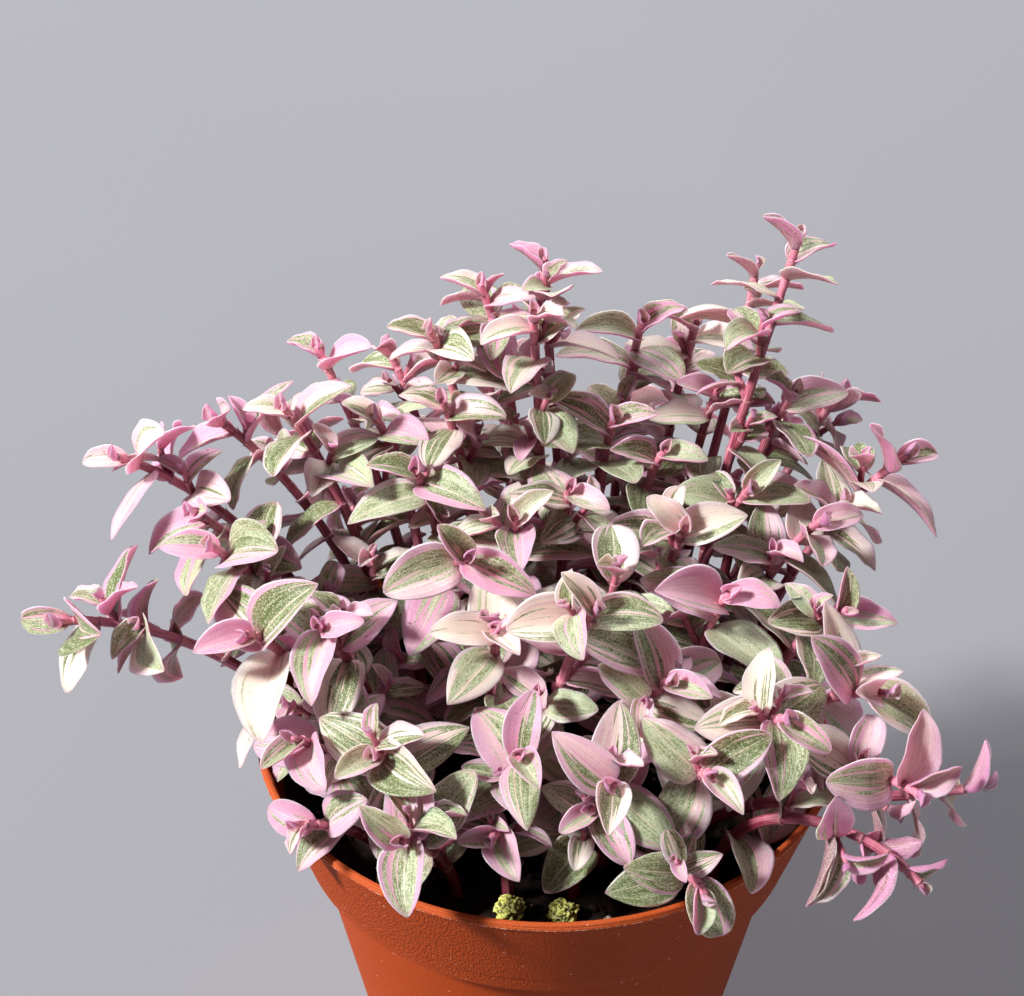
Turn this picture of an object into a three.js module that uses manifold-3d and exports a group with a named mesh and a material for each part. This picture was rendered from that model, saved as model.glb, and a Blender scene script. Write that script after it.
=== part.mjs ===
// A potted tradescantia: a tapered plastic pot, the peat in it, two clumps on the peat, and the
// leafy shoots. Millimetres, +Z up. The origin is the middle of the pot's base, and the side that
// the plant shows best faces -Y.

import * as THREE from 'three';
import { mergeVertices } from 'three/addons/utils/BufferGeometryUtils.js';
import Module from 'manifold-3d';

const wasm = await Module();
wasm.setup();

// ---------------------------------------------------------------- driving dimensions

const CLEARANCE = 0.3;

const POT = {
  height: 105,
  rimRadius: 60,
  lipHeight: 2.2,
  collarTop: 59.5,
  collarBottom: 52.4,
  collarHeight: 23.6,
  ledge: 2.8,
  baseRadius: 35,
  edge: 0.5,
  wall: 1.2,
  floor: 1.6,
  sides: 32,
};

const DRAIN = { count: 6, radius: 4, ring: 25, sides: 8 };

const SOIL = {
  top: 93,
  relief: 0.9,
  rings: [49, 30],
  sides: 24,
};

const STEM = {
  radius: 1.25,
  sides: 4,
  steps: 6,
  depth: 4,
  rise: 0.38,
  reach: 0.34,
  holeSides: 5,
  holeRoom: 0.8,
};

// A blade is a thin keeled solid. Where its two rows of corners lie, and how wide it is there, are
// shares of its length.
const BLADE = {
  rows: [0.24, 0.62],
  halfWidths: [0.25, 0.235],
  thickness: 1.2,
};

// Distance of each leaf from the tip of its shoot, from the youngest to the oldest.
const LEAF_SPACING = [1.0, 3.2, 5.9, 9.2, 13.4, 19, 26.5, 36, 47, 59];
const LEAF_OPEN = [16, 40, 56, 66, 74, 80, 86, 92, 98, 102];
const LEAF_SIZE = [0.55, 0.78, 0.94, 1, 1.04, 1.04, 1, 0.96, 0.9, 0.86];
const LEAVES_PER_SHOOT = 8;
const MOST_LEAVES = 10;
const BUD_SLIMNESS = 0.62;
const LOWEST_LEAF = 9;
const SPIRAL_HOURS = 4.583;

const GRANULES = [
  { at: [-7, -46.5], radius: 3.1 },
  { at: [3.5, -47], radius: 2.8 },
];

// ---------------------------------------------------------------- the shoots
// root: where the stem leaves the peat, x and y. tip: x, y and z. aim: where the tip points, as an
// azimuth from +X and an angle above the horizon. blade: the length of a grown leaf. hours: where
// the youngest leaves point, as hours on a clock that faces out along the tip; the leaves after
// them go on round the stem in a spiral. leaves: how many, where it isn't the usual number.
// stretch: how much further apart they stand. rise: how far the stem goes straight up first.

const SHOOTS = [
  // the tall ones at the back
  { root: [31, 30], tip: [50, 50, 190], aim: [50, 66], blade: 15, hours: [1, 9.4, 2.6, 6], leaves: 9 },
  { root: [28, 38], tip: [43, 62, 177], aim: [75, 62], blade: 14, hours: [12, 9, 3, 5] },
  { root: [4, 36], tip: [-2, 51, 184], aim: [100, 70], blade: 14, hours: [12, 9.2, 3, 6] },
  { root: [-7, 33], tip: [-15, 45, 181], aim: [200, 70], blade: 14, hours: [1, 8.8, 3.2, 11] },
  { root: [-1, 24], tip: [-4, 34, 181], aim: [260, 72], blade: 14, hours: [12, 4, 8, 2] },
  { root: [-15, 26], tip: [-25, 38, 174], aim: [215, 66], blade: 15, hours: [2, 9, 4, 11.5] },
  { root: [-27, 24], tip: [-49, 43, 167], aim: [170, 66], blade: 15, hours: [12, 9, 3, 6] },
  { root: [13, 40], tip: [19, 53, 168], aim: [290, 66], blade: 16, hours: [11, 2.4, 8.6, 5] },
  { root: [21, 37], tip: [31, 60, 164], aim: [300, 70], blade: 15, hours: [1, 9, 4] },
  // left side, leaning out over the rim
  { root: [-33, 14], tip: [-54, 24, 164], aim: [210, 60], blade: 16, hours: [12.3, 9, 2, 5.5] },
  { root: [-35, 21], tip: [-70, 34, 155], aim: [190, 45], blade: 16, hours: [11, 3, 8, 1] },
  { root: [-41, 13], tip: [-88, 20, 154], aim: [212, 34], blade: 17, hours: [1, 8.7, 2.4, 6, 11] },
  { root: [-38, 5], tip: [-72, 11, 147], aim: [215, 45], blade: 16, hours: [12, 3.5, 8, 6] },
  { root: [-42, -1], tip: [-66, -2, 148], aim: [225, 50], blade: 18, hours: [1.5, 9, 3, 6, 11] },
  {
    root: [-44, -8], tip: [-96, -10, 135], aim: [228, 24], blade: 18,
    hours: [12.5, 9, 3.5, 7], rise: 0.44,
  },
  { root: [-39, -14], tip: [-57, -23, 143], aim: [240, 40], blade: 18, hours: [3, 8.2, 2.2, 10.3, 6] },
  { root: [-32, -8], tip: [-43, -24, 146], aim: [255, 50], blade: 15, hours: [11, 3, 6.2, 9] },
  // the middle
  { root: [-17, 9], tip: [-27, 14, 156], aim: [250, 60], blade: 17, hours: [1, 9.2, 4.2, 8.2, 11.6] },
  { root: [-13, 16], tip: [-22, 27, 164], aim: [240, 64], blade: 15, hours: [12, 9, 3.2, 6] },
  { root: [-23, 12], tip: [-36, 29, 159], aim: [230, 64], blade: 15, hours: [1, 9.5, 4, 7] },
  { root: [8, 15], tip: [13, 34, 156], aim: [285, 60], blade: 16, hours: [11, 3.2, 9.6, 8.4, 5.4] },
  { root: [15, 23], tip: [24, 33, 149], aim: [300, 56], blade: 15, hours: [1, 4, 9, 2] },
  { root: [23, 15], tip: [41, 22, 147], aim: [290, 50], blade: 16, hours: [10.6, 1.4, 3.3, 9, 6] },
  { root: [17, 5], tip: [27, 8, 147], aim: [280, 52], blade: 16, hours: [12, 10, 2.8, 9.2, 5.6] },
  { root: [25, 22], tip: [35, 44, 157], aim: [290, 60], blade: 15, hours: [2, 9, 4] },
  { root: [-9, 3], tip: [-7, 6, 150], aim: [265, 56], blade: 16, hours: [11, 2, 6, 9] },
  { root: [2, 6], tip: [4, 14, 152], aim: [280, 60], blade: 15, hours: [1, 4, 8, 11] },
  // right side, leaning out over the rim
  { root: [35, 24], tip: [51, 42, 158], aim: [320, 62], blade: 16, hours: [12, 9, 3, 6] },
  { root: [40, 14], tip: [74, 32, 149], aim: [350, 46], blade: 17, hours: [1, 3, 9.4, 5, 11] },
  { root: [34, 6], tip: [55, 15, 144], aim: [320, 50], blade: 16, hours: [9.6, 3, 7, 12, 5] },
  { root: [26, -7], tip: [35, -6, 141], aim: [285, 50], blade: 18, hours: [2, 3.4, 8.7, 10, 5] },
  { root: [41, -2], tip: [58, -8, 139], aim: [305, 40], blade: 14, hours: [4, 12, 3.5, 8.7, 6.3] },
  { root: [37, -10], tip: [64, -27, 134], aim: [310, 28], blade: 17, hours: [12.7, 9, 3.8, 10.2, 11.6] },
  { root: [42, -19], tip: [68, -46, 126], aim: [290, 18], blade: 16, hours: [7, 2, 12, 9, 5] },
  { root: [33, -17], tip: [44, -37, 136], aim: [290, 40], blade: 16, hours: [11, 4, 6, 9, 2] },
  // the front
  {
    root: [-28, -1], tip: [-15, -14, 155], aim: [290, 35], blade: 16,
    hours: [1, 10.2, 4, 8, 3], leaves: 10,
  },
  {
    root: [-2, -21], tip: [9, -28, 154], aim: [290, 50], blade: 16,
    hours: [11, 10.4, 3, 8.6, 3.8, 10], leaves: 10,
  },
  { root: [-12, -13], tip: [-10, -24, 146], aim: [270, 50], blade: 15, hours: [2, 5, 9, 12, 7] },
  { root: [-6, -33], tip: [-5, -46, 134], aim: [268, 42], blade: 15, hours: [1.6, 4.8, 12.2, 6, 10.8, 7] },
  { root: [11, -31], tip: [12, -51, 132], aim: [274, 40], blade: 17, hours: [10, 6.2, 10.4, 12, 4.3, 1] },
  { root: [17, -16], tip: [23, -29, 138], aim: [295, 45], blade: 16, hours: [12.5, 4, 11, 2, 7] },
  { root: [24, -27], tip: [30, -47, 131], aim: [280, 35], blade: 16, hours: [9, 5, 2, 12, 7] },
  { root: [-17, -40], tip: [-26, -57, 123], aim: [262, 42], blade: 16, hours: [8.5, 10.2, 5.6, 11.4, 2] },
  { root: [-31, -32], tip: [-47, -46, 116], aim: [225, 30], blade: 12, hours: [11, 5.5, 9.7, 2, 7] },
  { root: [-37, -24], tip: [-48, -34, 127], aim: [225, 40], blade: 15, hours: [10, 7, 4.5, 9, 1] },
  { root: [-24, -26], tip: [-32, -42, 130], aim: [245, 42], blade: 16, hours: [12, 8, 4, 10, 2] },
  { root: [-7, -42], tip: [-10, -50, 117], aim: [262, 15], blade: 12, hours: [6, 8.6, 4.8, 9.6] },
  { root: [5, -40], tip: [8, -47, 122], aim: [240, 30], blade: 13, hours: [9, 7.6, 5, 10.2] },
  { root: [20, -40], tip: [29, -60, 113], aim: [285, -6], blade: 14, hours: [2, 6.2, 4.6, 9, 7.6] },
  // the two that trail over the rim on the right
  {
    root: [26, -30], tip: [83, -38, 122], aim: [6, 18], blade: 16,
    hours: [1, 11.4, 3.5, 4.6, 6, 12], stretch: 1.7, rise: 0.44,
  },
  {
    root: [32, -36], tip: [70, -52, 108], aim: [318, -38], blade: 15,
    hours: [3, 1, 6.6, 4, 6, 12.4], stretch: 1.6, rise: 0.75,
  },
  // the far side and low in the middle
  { root: [-20, 36], tip: [-36, 62, 156], aim: [150, 62], blade: 15, hours: [1, 5, 9] },
  { root: [-6, 43], tip: [-12, 76, 146], aim: [95, 40], blade: 16, hours: [12, 4, 8] },
  { root: [19, 44], tip: [30, 82, 140], aim: [70, 38], blade: 16, hours: [2, 6, 10] },
  { root: [38, 30], tip: [64, 62, 146], aim: [30, 45], blade: 16, hours: [1, 5, 9] },
  { root: [-30, 32], tip: [-62, 58, 138], aim: [150, 38], blade: 16, hours: [11, 3, 7] },
];

const FOLIAGE = new THREE.MeshStandardMaterial({ name: 'foliage', color: 0xb9a3a6, roughness: 0.45 });
const TERRACOTTA = new THREE.MeshStandardMaterial({ name: 'pot', color: 0xc8603a, roughness: 0.4 });
const PEAT = new THREE.MeshStandardMaterial({ name: 'soil', color: 0x17110e, roughness: 0.95 });
const CLUMP = new THREE.MeshStandardMaterial({ name: 'granule', color: 0xb4bf6a, roughness: 0.85 });

// ---------------------------------------------------------------- solids

// Only the positions count for joining and cutting, so the other attributes go before the merge.
function weld(geometry) {
  geometry.deleteAttribute('normal');
  geometry.deleteAttribute('uv');
  return mergeVertices(geometry, 1e-4);
}

function toSolid(geometry) {
  const welded = weld(geometry);
  const vertProperties = new Float32Array(welded.attributes.position.array);
  const triVerts = new Uint32Array(welded.index.array);
  return new wasm.Manifold(new wasm.Mesh({ numProp: 3, vertProperties, triVerts }));
}

function toGeometry(solid) {
  const mesh = solid.getMesh();
  const geometry = new THREE.BufferGeometry();
  geometry.setAttribute('position', new THREE.BufferAttribute(mesh.vertProperties, 3));
  geometry.setIndex(new THREE.BufferAttribute(mesh.triVerts, 1));
  return geometry;
}

function named(name, geometry, material) {
  geometry.computeVertexNormals();
  const mesh = new THREE.Mesh(geometry, material);
  mesh.name = name;
  return mesh;
}

// A lathe turns round Y, and this part stands on Z.
function lathe(profile, sides) {
  const points = profile.map(([radius, height]) => new THREE.Vector2(radius, height));
  return new THREE.LatheGeometry(points, sides).rotateX(Math.PI / 2);
}

// ---------------------------------------------------------------- pot

// The collar stands out over the body by the ledge between them.
const COLLAR_FOOT = POT.height - POT.lipHeight - POT.collarHeight;
const BODY_TOP = POT.collarBottom - POT.ledge;

function potRadius(height) {
  if (height >= COLLAR_FOOT) {
    const share = (height - COLLAR_FOOT) / POT.collarHeight;
    return POT.collarBottom + (POT.collarTop - POT.collarBottom) * Math.min(share, 1);
  }
  return POT.baseRadius + (BODY_TOP - POT.baseRadius) * (height / COLLAR_FOOT);
}

// The ledge on a line that runs inside the pot's outer one: gap in from the wall, rise above it.
function ledgeInside(gap, rise) {
  const top = COLLAR_FOOT + rise;
  return [[potRadius(top) - gap, top], [BODY_TOP - gap, top - POT.edge]];
}

function potProfile() {
  const lipFoot = POT.height - POT.lipHeight;
  return [
    [0, 0],
    [POT.baseRadius, 0],
    [BODY_TOP, COLLAR_FOOT - POT.edge],
    [POT.collarBottom, COLLAR_FOOT],
    [POT.collarTop, lipFoot],
    [POT.rimRadius, lipFoot + POT.edge],
    [POT.rimRadius, POT.height - POT.edge],
    [POT.rimRadius - POT.edge, POT.height],
    [POT.collarTop - POT.wall, POT.height],
    [POT.collarTop - POT.wall - POT.edge, lipFoot],
    ...ledgeInside(POT.wall, POT.wall),
    [potRadius(POT.floor) - POT.wall, POT.floor],
    [0, POT.floor],
  ];
}

function drainHoles() {
  const holes = [];
  for (let i = 0; i < DRAIN.count; i += 1) {
    const angle = ((i + 0.5) / DRAIN.count) * 2 * Math.PI;
    const drill = new THREE.CylinderGeometry(DRAIN.radius, DRAIN.radius, 4 * POT.floor, DRAIN.sides);
    drill.rotateX(Math.PI / 2);
    drill.translate(DRAIN.ring * Math.cos(angle), DRAIN.ring * Math.sin(angle), 0);
    holes.push(drill);
  }
  return holes;
}

function makePot() {
  let solid = toSolid(lathe(potProfile(), POT.sides));
  for (const hole of drainHoles()) {
    solid = solid.subtract(toSolid(hole));
  }
  return named('pot', toGeometry(solid), TERRACOTTA);
}

// ---------------------------------------------------------------- soil and clumps

function soilHeight(x, y) {
  const swell = Math.sin(x * 0.13 + 1.1) * Math.cos(y * 0.11 - 0.4);
  const ripple = 0.6 * Math.sin(x * 0.29 - y * 0.23);
  return SOIL.top + SOIL.relief * (swell + ripple) * 0.6;
}

function soilBody() {
  const foot = POT.floor + CLEARANCE;
  const gap = POT.wall + 2 * CLEARANCE;
  const profile = [
    [0, foot],
    [potRadius(foot) - gap, foot],
    ...ledgeInside(gap, gap).reverse(),
    [potRadius(SOIL.top) - gap, SOIL.top],
    ...SOIL.rings.map((radius) => [radius, SOIL.top]),
    [0, SOIL.top],
  ];
  const body = weld(lathe(profile, SOIL.sides));
  const position = body.attributes.position;
  for (let i = 0; i < position.count; i += 1) {
    const radius = Math.hypot(position.getX(i), position.getY(i));
    if (position.getZ(i) > SOIL.top - 0.1 && radius <= SOIL.rings[0] + 0.1) {
      position.setZ(i, soilHeight(position.getX(i), position.getY(i)));
    }
  }
  return body;
}

function stemHole([x, y]) {
  const radius = (STEM.radius + STEM.holeRoom) / Math.cos(Math.PI / STEM.holeSides);
  const height = 3 * STEM.depth;
  const drill = new THREE.CylinderGeometry(radius, radius, height, STEM.holeSides);
  drill.rotateX(Math.PI / 2);
  drill.translate(x, y, SOIL.top - STEM.depth - CLEARANCE + height / 2);
  return toSolid(drill);
}

function makeSoil() {
  const holes = wasm.Manifold.union(SHOOTS.map((shoot) => stemHole(shoot.root)));
  return named('soil', toGeometry(toSolid(soilBody()).subtract(holes)), PEAT);
}

function heightBelow(mesh, x, y) {
  const ray = new THREE.Raycaster(new THREE.Vector3(x, y, POT.height), new THREE.Vector3(0, 0, -1));
  return ray.intersectObject(mesh)[0].point.z;
}

function makeGranule(index, soilMesh) {
  const { at: [x, y], radius } = GRANULES[index];
  const lump = new THREE.IcosahedronGeometry(radius, 1);
  const position = lump.attributes.position;
  for (let i = 0; i < position.count; i += 1) {
    const [px, py, pz] = [position.getX(i), position.getY(i), position.getZ(i)];
    const bump = 1 + 0.12 * Math.sin(px * 2.3 + index) * Math.cos(py * 2.1 + pz);
    position.setXYZ(i, px * bump, py * bump, pz * bump * 0.85);
  }
  lump.computeBoundingBox();
  const rest = heightBelow(soilMesh, x, y) + CLEARANCE;
  lump.translate(x, y, rest - lump.boundingBox.min.z);
  return named(`granule_${index + 1}`, weld(lump), CLUMP);
}

// ---------------------------------------------------------------- shoots: where things go

const UP = new THREE.Vector3(0, 0, 1);
const TWELVE = new THREE.Vector3(0, 0.7, 0.7);
const radians = THREE.MathUtils.degToRad;

// Repeats the same draws in the same order each time, for each shoot on its own.
function makeRandom(seed) {
  let state = (seed * 7919 + 104729) % 4294967296;
  return () => {
    state = (state * 1664525 + 1013904223) % 4294967296;
    return state / 4294967296;
  };
}

function aimVector([azimuth, elevation]) {
  const level = Math.cos(radians(elevation));
  return new THREE.Vector3(
    level * Math.cos(radians(azimuth)),
    level * Math.sin(radians(azimuth)),
    Math.sin(radians(elevation)),
  );
}

function stemCurve(shoot) {
  const root = new THREE.Vector3(...shoot.root, SOIL.top - STEM.depth);
  const tip = new THREE.Vector3(...shoot.tip);
  const span = root.distanceTo(tip);
  const rise = root.clone().addScaledVector(UP, span * (shoot.rise ?? STEM.rise));
  const reach = tip.clone().addScaledVector(aimVector(shoot.aim), -span * STEM.reach);
  return new THREE.CubicBezierCurve3(root, rise, reach, tip);
}

// The clock's twelve and three, square to the stem.
function clockFace(tangent) {
  const twelve = TWELVE.clone().addScaledVector(tangent, -TWELVE.dot(tangent)).normalize();
  const three = new THREE.Vector3().crossVectors(twelve, tangent);
  return { twelve, three };
}

function leafHour(shoot, index) {
  const last = shoot.hours.length - 1;
  if (index <= last) {
    return shoot.hours[index];
  }
  return shoot.hours[last] + SPIRAL_HOURS * (index - last);
}

// All draws for a leaf are made here, so that dropping one leaf never moves another.
function leafPlans(shoot, seed) {
  const random = makeRandom(seed);
  const curve = stemCurve(shoot);
  const length = curve.getLength();
  const stretch = shoot.stretch ?? 1;
  const plans = [];
  for (let i = 0; i < (shoot.leaves ?? LEAVES_PER_SHOOT); i += 1) {
    const turn = (random() - 0.5) * 16;
    const open = LEAF_OPEN[i] + (random() - 0.5) * 12;
    const size = shoot.blade * LEAF_SIZE[i] * (0.92 + 0.16 * random());
    const bend = 28 + 42 * random();
    const down = LEAF_SPACING[i] * stretch;
    const height = curve.getPointAt(Math.max(1 - down / length, 0)).z;
    if (height > SOIL.top + LOWEST_LEAF) {
      const share = 1 - down / length;
      const base = curve.getPointAt(share);
      const tangent = curve.getTangentAt(share);
      plans.push({ base, tangent, hour: leafHour(shoot, i), turn, open, size, bend, bud: i === 0 });
    }
  }
  return plans;
}

// A leaf that would cross another shoot is turned, lifted or lowered, and then made smaller.
const TURNS = [0, 16, -16, 32, -32, 48, -48];
const LIFTS = [0, -13, 13, -26, 26];
const SHRINKS = [1, 0.84, 0.7];

function* leafCandidates(plan) {
  for (const shrink of SHRINKS) {
    for (const lift of LIFTS) {
      for (const turn of TURNS) {
        yield placeLeaf(plan, turn, lift, shrink);
      }
    }
  }
}

function placeLeaf(plan, extraTurn, lift, shrink) {
  const { twelve, three } = clockFace(plan.tangent);
  const clock = (plan.hour / 12) * 2 * Math.PI + radians(plan.turn + extraTurn);
  const open = radians(plan.open + lift);
  const stem = plan.tangent;
  const out = twelve.clone().multiplyScalar(Math.cos(clock)).addScaledVector(three, Math.sin(clock));
  const along = stem.clone().multiplyScalar(Math.cos(open)).addScaledVector(out, Math.sin(open));
  const face = stem.clone().multiplyScalar(Math.sin(open)).addScaledVector(out, -Math.cos(open));
  const side = new THREE.Vector3().crossVectors(along, face);
  const length = plan.size * shrink;
  return { base: plan.base, along, face, side, length, bend: radians(plan.bend), bud: plan.bud };
}

// ---------------------------------------------------------------- shoots: blades and stems

// The rib is an arc that curls away from the face. Returns the point and the face there.
function ribAt(leaf, share) {
  const angle = leaf.bend * share;
  const radius = leaf.length / leaf.bend;
  const point = leaf.base.clone()
    .addScaledVector(leaf.along, radius * Math.sin(angle))
    .addScaledVector(leaf.face, -radius * (1 - Math.cos(angle)));
  const face = leaf.face.clone()
    .multiplyScalar(Math.cos(angle))
    .addScaledVector(leaf.along, Math.sin(angle));
  return { point, face };
}

// The base, two rows of left edge, right edge and keel, and the tip. Swell makes the skin thicker.
function bladePoints(leaf, swell) {
  const points = [ribAt(leaf, 0).point];
  BLADE.rows.forEach((share, row) => {
    const { point, face } = ribAt(leaf, share);
    const slim = leaf.bud ? BUD_SLIMNESS : 1;
    const half = leaf.length * BLADE.halfWidths[row] * slim + swell;
    const thick = BLADE.thickness / 2 + swell;
    points.push(point.clone().addScaledVector(leaf.side, half).addScaledVector(face, thick));
    points.push(point.clone().addScaledVector(leaf.side, -half).addScaledVector(face, thick));
    points.push(point.clone().addScaledVector(face, -thick));
  });
  points.push(ribAt(leaf, 1 + swell / leaf.length).point);
  return points;
}

const BLADE_FACES = (() => {
  const faces = [];
  const [base, tip] = [0, 7];
  const corner = (row, k) => 1 + row * 3 + (k % 3);
  for (let k = 0; k < 3; k += 1) {
    const [a, b, c, d] = [corner(0, k), corner(0, k + 1), corner(1, k + 1), corner(1, k)];
    faces.push([base, a, b], [a, d, b], [b, d, c], [tip, c, d]);
  }
  return faces;
})();

function bladeGeometry(leaf) {
  const geometry = new THREE.BufferGeometry();
  const places = bladePoints(leaf, 0).flatMap((point) => point.toArray());
  geometry.setAttribute('position', new THREE.Float32BufferAttribute(places, 3));
  geometry.setIndex(BLADE_FACES.flat());
  return geometry;
}

function stemGeometry(shoot) {
  const outline = new THREE.Shape();
  for (let i = 0; i < STEM.sides; i += 1) {
    const angle = (i / STEM.sides) * 2 * Math.PI;
    const corner = [STEM.radius * Math.cos(angle), STEM.radius * Math.sin(angle)];
    if (i === 0) {
      outline.moveTo(...corner);
    } else {
      outline.lineTo(...corner);
    }
  }
  return new THREE.ExtrudeGeometry(outline, { steps: STEM.steps, extrudePath: stemCurve(shoot) });
}

// ---------------------------------------------------------------- keeping the shoots clear

function trianglesOf(geometry) {
  const position = geometry.attributes.position;
  const index = geometry.index;
  const triangles = [];
  for (let i = 0; i < index.count; i += 3) {
    const corner = (k) => new THREE.Vector3().fromBufferAttribute(position, index.getX(i + k));
    triangles.push([corner(0), corner(1), corner(2)]);
  }
  return triangles;
}

function bladeTriangles(leaf, swell) {
  const points = bladePoints(leaf, swell);
  return BLADE_FACES.map((face) => face.map((k) => points[k]));
}

const scratch = { ray: new THREE.Ray(), hit: new THREE.Vector3() };

function edgePierces(from, to, [a, b, c]) {
  scratch.ray.origin.copy(from);
  scratch.ray.direction.subVectors(to, from);
  const span = scratch.ray.direction.length();
  scratch.ray.direction.divideScalar(span);
  const hit = scratch.ray.intersectTriangle(a, b, c, false, scratch.hit);
  return hit !== null && hit.distanceTo(from) <= span;
}

function trianglesCross(first, second) {
  for (let k = 0; k < 3; k += 1) {
    if (edgePierces(first[k], first[(k + 1) % 3], second)) return true;
    if (edgePierces(second[k], second[(k + 1) % 3], first)) return true;
  }
  return false;
}

// Everything placed so far, as patches of triangles with the ball round each.
class Obstacles {
  constructor() {
    this.patches = [];
  }

  add(triangles, owner) {
    const ball = new THREE.Sphere().setFromPoints(triangles.flat());
    this.patches.push({ triangles, owner, ball });
  }

  cross(triangles, isOther) {
    const ball = new THREE.Sphere().setFromPoints(triangles.flat());
    for (const patch of this.patches) {
      if (isOther(patch.owner) && patch.ball.intersectsSphere(ball)) {
        const box = new THREE.Box3().setFromPoints(triangles.flat());
        for (const other of patch.triangles) {
          if (box.intersectsTriangle(new THREE.Triangle(...other))) {
            if (triangles.some((triangle) => trianglesCross(triangle, other))) return true;
          }
        }
      }
    }
    return false;
  }
}

const LEAF_MARGIN = 0.32;
// The blades of one shoot meet at their bases, so only what lies past the first row is kept apart.
const OUTER_FACES = BLADE_FACES.map((face, i) => (face.includes(0) ? -1 : i)).filter((i) => i >= 0);

function growShoots(potMesh, soilMesh) {
  const obstacles = new Obstacles();
  trianglesOf(potMesh.geometry).forEach((triangle) => obstacles.add([triangle], 'pot'));
  trianglesOf(soilMesh.geometry).forEach((triangle) => obstacles.add([triangle], 'soil'));
  const stems = SHOOTS.map((shoot) => weld(stemGeometry(shoot)));
  stems.forEach((stem, number) => {
    trianglesOf(stem).forEach((triangle) => obstacles.add([triangle], `stem ${number}`));
  });
  const leaves = SHOOTS.map(() => []);
  const plans = SHOOTS.map((shoot, number) => leafPlans(shoot, number + 1));
  for (let i = 0; i < MOST_LEAVES; i += 1) {
    plans.forEach((plan, number) => {
      if (plan[i]) {
        const leaf = firstClear(plan[i], number, obstacles);
        if (leaf) {
          leaves[number].push(leaf);
          obstacles.add(bladeTriangles(leaf, 0), `leaf ${number}`);
        }
      }
    });
  }
  return SHOOTS.map((shoot, number) => ({ stem: stems[number], leaves: leaves[number] }));
}

function firstClear(plan, number, obstacles) {
  const own = [`leaf ${number}`, `stem ${number}`];
  for (const leaf of leafCandidates(plan)) {
    const skin = bladeTriangles(leaf, LEAF_MARGIN);
    if (!obstacles.cross(skin, (owner) => !own.includes(owner))) {
      const blade = bladeTriangles(leaf, 0);
      const outer = OUTER_FACES.map((i) => blade[i]);
      if (!obstacles.cross(outer, (owner) => owner === own[0])) return leaf;
    }
  }
  return null;
}

function makeShoot({ stem, leaves }, number) {
  let solid = toSolid(stem);
  for (const leaf of leaves) {
    solid = solid.add(toSolid(bladeGeometry(leaf)));
  }
  const name = `shoot_${String(number + 1).padStart(2, '0')}`;
  return named(name, toGeometry(solid), FOLIAGE);
}

// ---------------------------------------------------------------- the whole plant

const plant = new THREE.Group();
const pot = makePot();
const soil = makeSoil();
plant.add(pot, soil);
GRANULES.forEach((granule, index) => plant.add(makeGranule(index, soil)));
growShoots(pot, soil).forEach((shoot, number) => plant.add(makeShoot(shoot, number)));

export default plant;
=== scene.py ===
"""The finish of a potted tradescantia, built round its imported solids.

Striped leaves clasp maroon stems, in a terracotta-coloured plastic pot of dark peat. The sizes in the
script are millimetres, and the properties and the meshes are metres.
"""

import math
import random
from dataclasses import dataclass, replace

import bmesh
import bpy
import numpy as np
from bpy.props import FloatProperty, FloatVectorProperty, IntProperty, PointerProperty
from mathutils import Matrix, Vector, noise
from mathutils.bvhtree import BVHTree
from mathutils.kdtree import KDTree


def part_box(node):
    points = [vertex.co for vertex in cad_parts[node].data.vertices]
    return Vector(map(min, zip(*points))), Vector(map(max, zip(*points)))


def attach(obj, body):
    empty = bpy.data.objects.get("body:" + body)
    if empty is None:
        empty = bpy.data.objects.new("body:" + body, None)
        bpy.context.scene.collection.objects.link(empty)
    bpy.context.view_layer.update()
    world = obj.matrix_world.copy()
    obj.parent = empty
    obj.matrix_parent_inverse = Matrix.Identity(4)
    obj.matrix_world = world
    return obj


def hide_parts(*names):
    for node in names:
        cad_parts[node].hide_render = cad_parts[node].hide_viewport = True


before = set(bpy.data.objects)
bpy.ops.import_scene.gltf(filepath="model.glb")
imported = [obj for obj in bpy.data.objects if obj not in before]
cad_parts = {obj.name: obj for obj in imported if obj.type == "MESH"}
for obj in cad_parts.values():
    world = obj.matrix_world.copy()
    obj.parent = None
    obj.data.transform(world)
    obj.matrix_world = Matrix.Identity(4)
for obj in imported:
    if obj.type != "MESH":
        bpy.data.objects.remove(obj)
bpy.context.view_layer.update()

bl_info = {
    "name": "Potted Tradescantia",
    "version": (1, 0, 0),
    "blender": (4, 5, 0),
    "location": "3D View > Sidebar > Plant",
    "description": "Dresses the solids of a potted tradescantia with leaves, stems, pot and peat",
    "category": "Add Mesh",
}

POT_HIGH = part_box("pot")[1]
MM = 0.001

# ---- Sizes of the plant, in millimetres, as its solids have them -----------

SOIL_TOP = 93
SOIL_RELIEF = 0.9
# How deep a stem starts in the peat, and how far back from its tip its curve is steered, as a share.
ROOT_DEPTH = 4
STEM_REACH = 0.34

# A leaf's distance from the tip of its shoot, how far it opens in degrees, and its share of the blade.
LEAF_SPACING = (1.0, 3.2, 5.9, 9.2, 13.4, 19, 26.5, 36, 47, 59, 71, 83, 95)
LEAF_OPEN = (16, 40, 56, 66, 74, 80, 86, 92, 98, 102, 106, 108, 110)
LEAF_SIZE = (0.55, 0.78, 0.94, 1, 1.04, 1.04, 1, 0.96, 0.9, 0.86, 0.86, 0.84, 0.8)
LOWEST_LEAF = 9

# From one leaf to the next round the stem, in hours on a clock, and how slim the rolled leaf at the tip is.
SPIRAL_HOURS = 4.583
BUD_SLIMNESS = 0.62

# What the draws change: a leaf's turn and opening in degrees, its share of the size, and its bend.
TURN_SPREAD, OPEN_SPREAD = 16, 12
SIZE_LEAST, SIZE_SPREAD = 0.92, 0.16
BEND_LEAST, BEND_SPREAD = 28, 42

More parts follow.
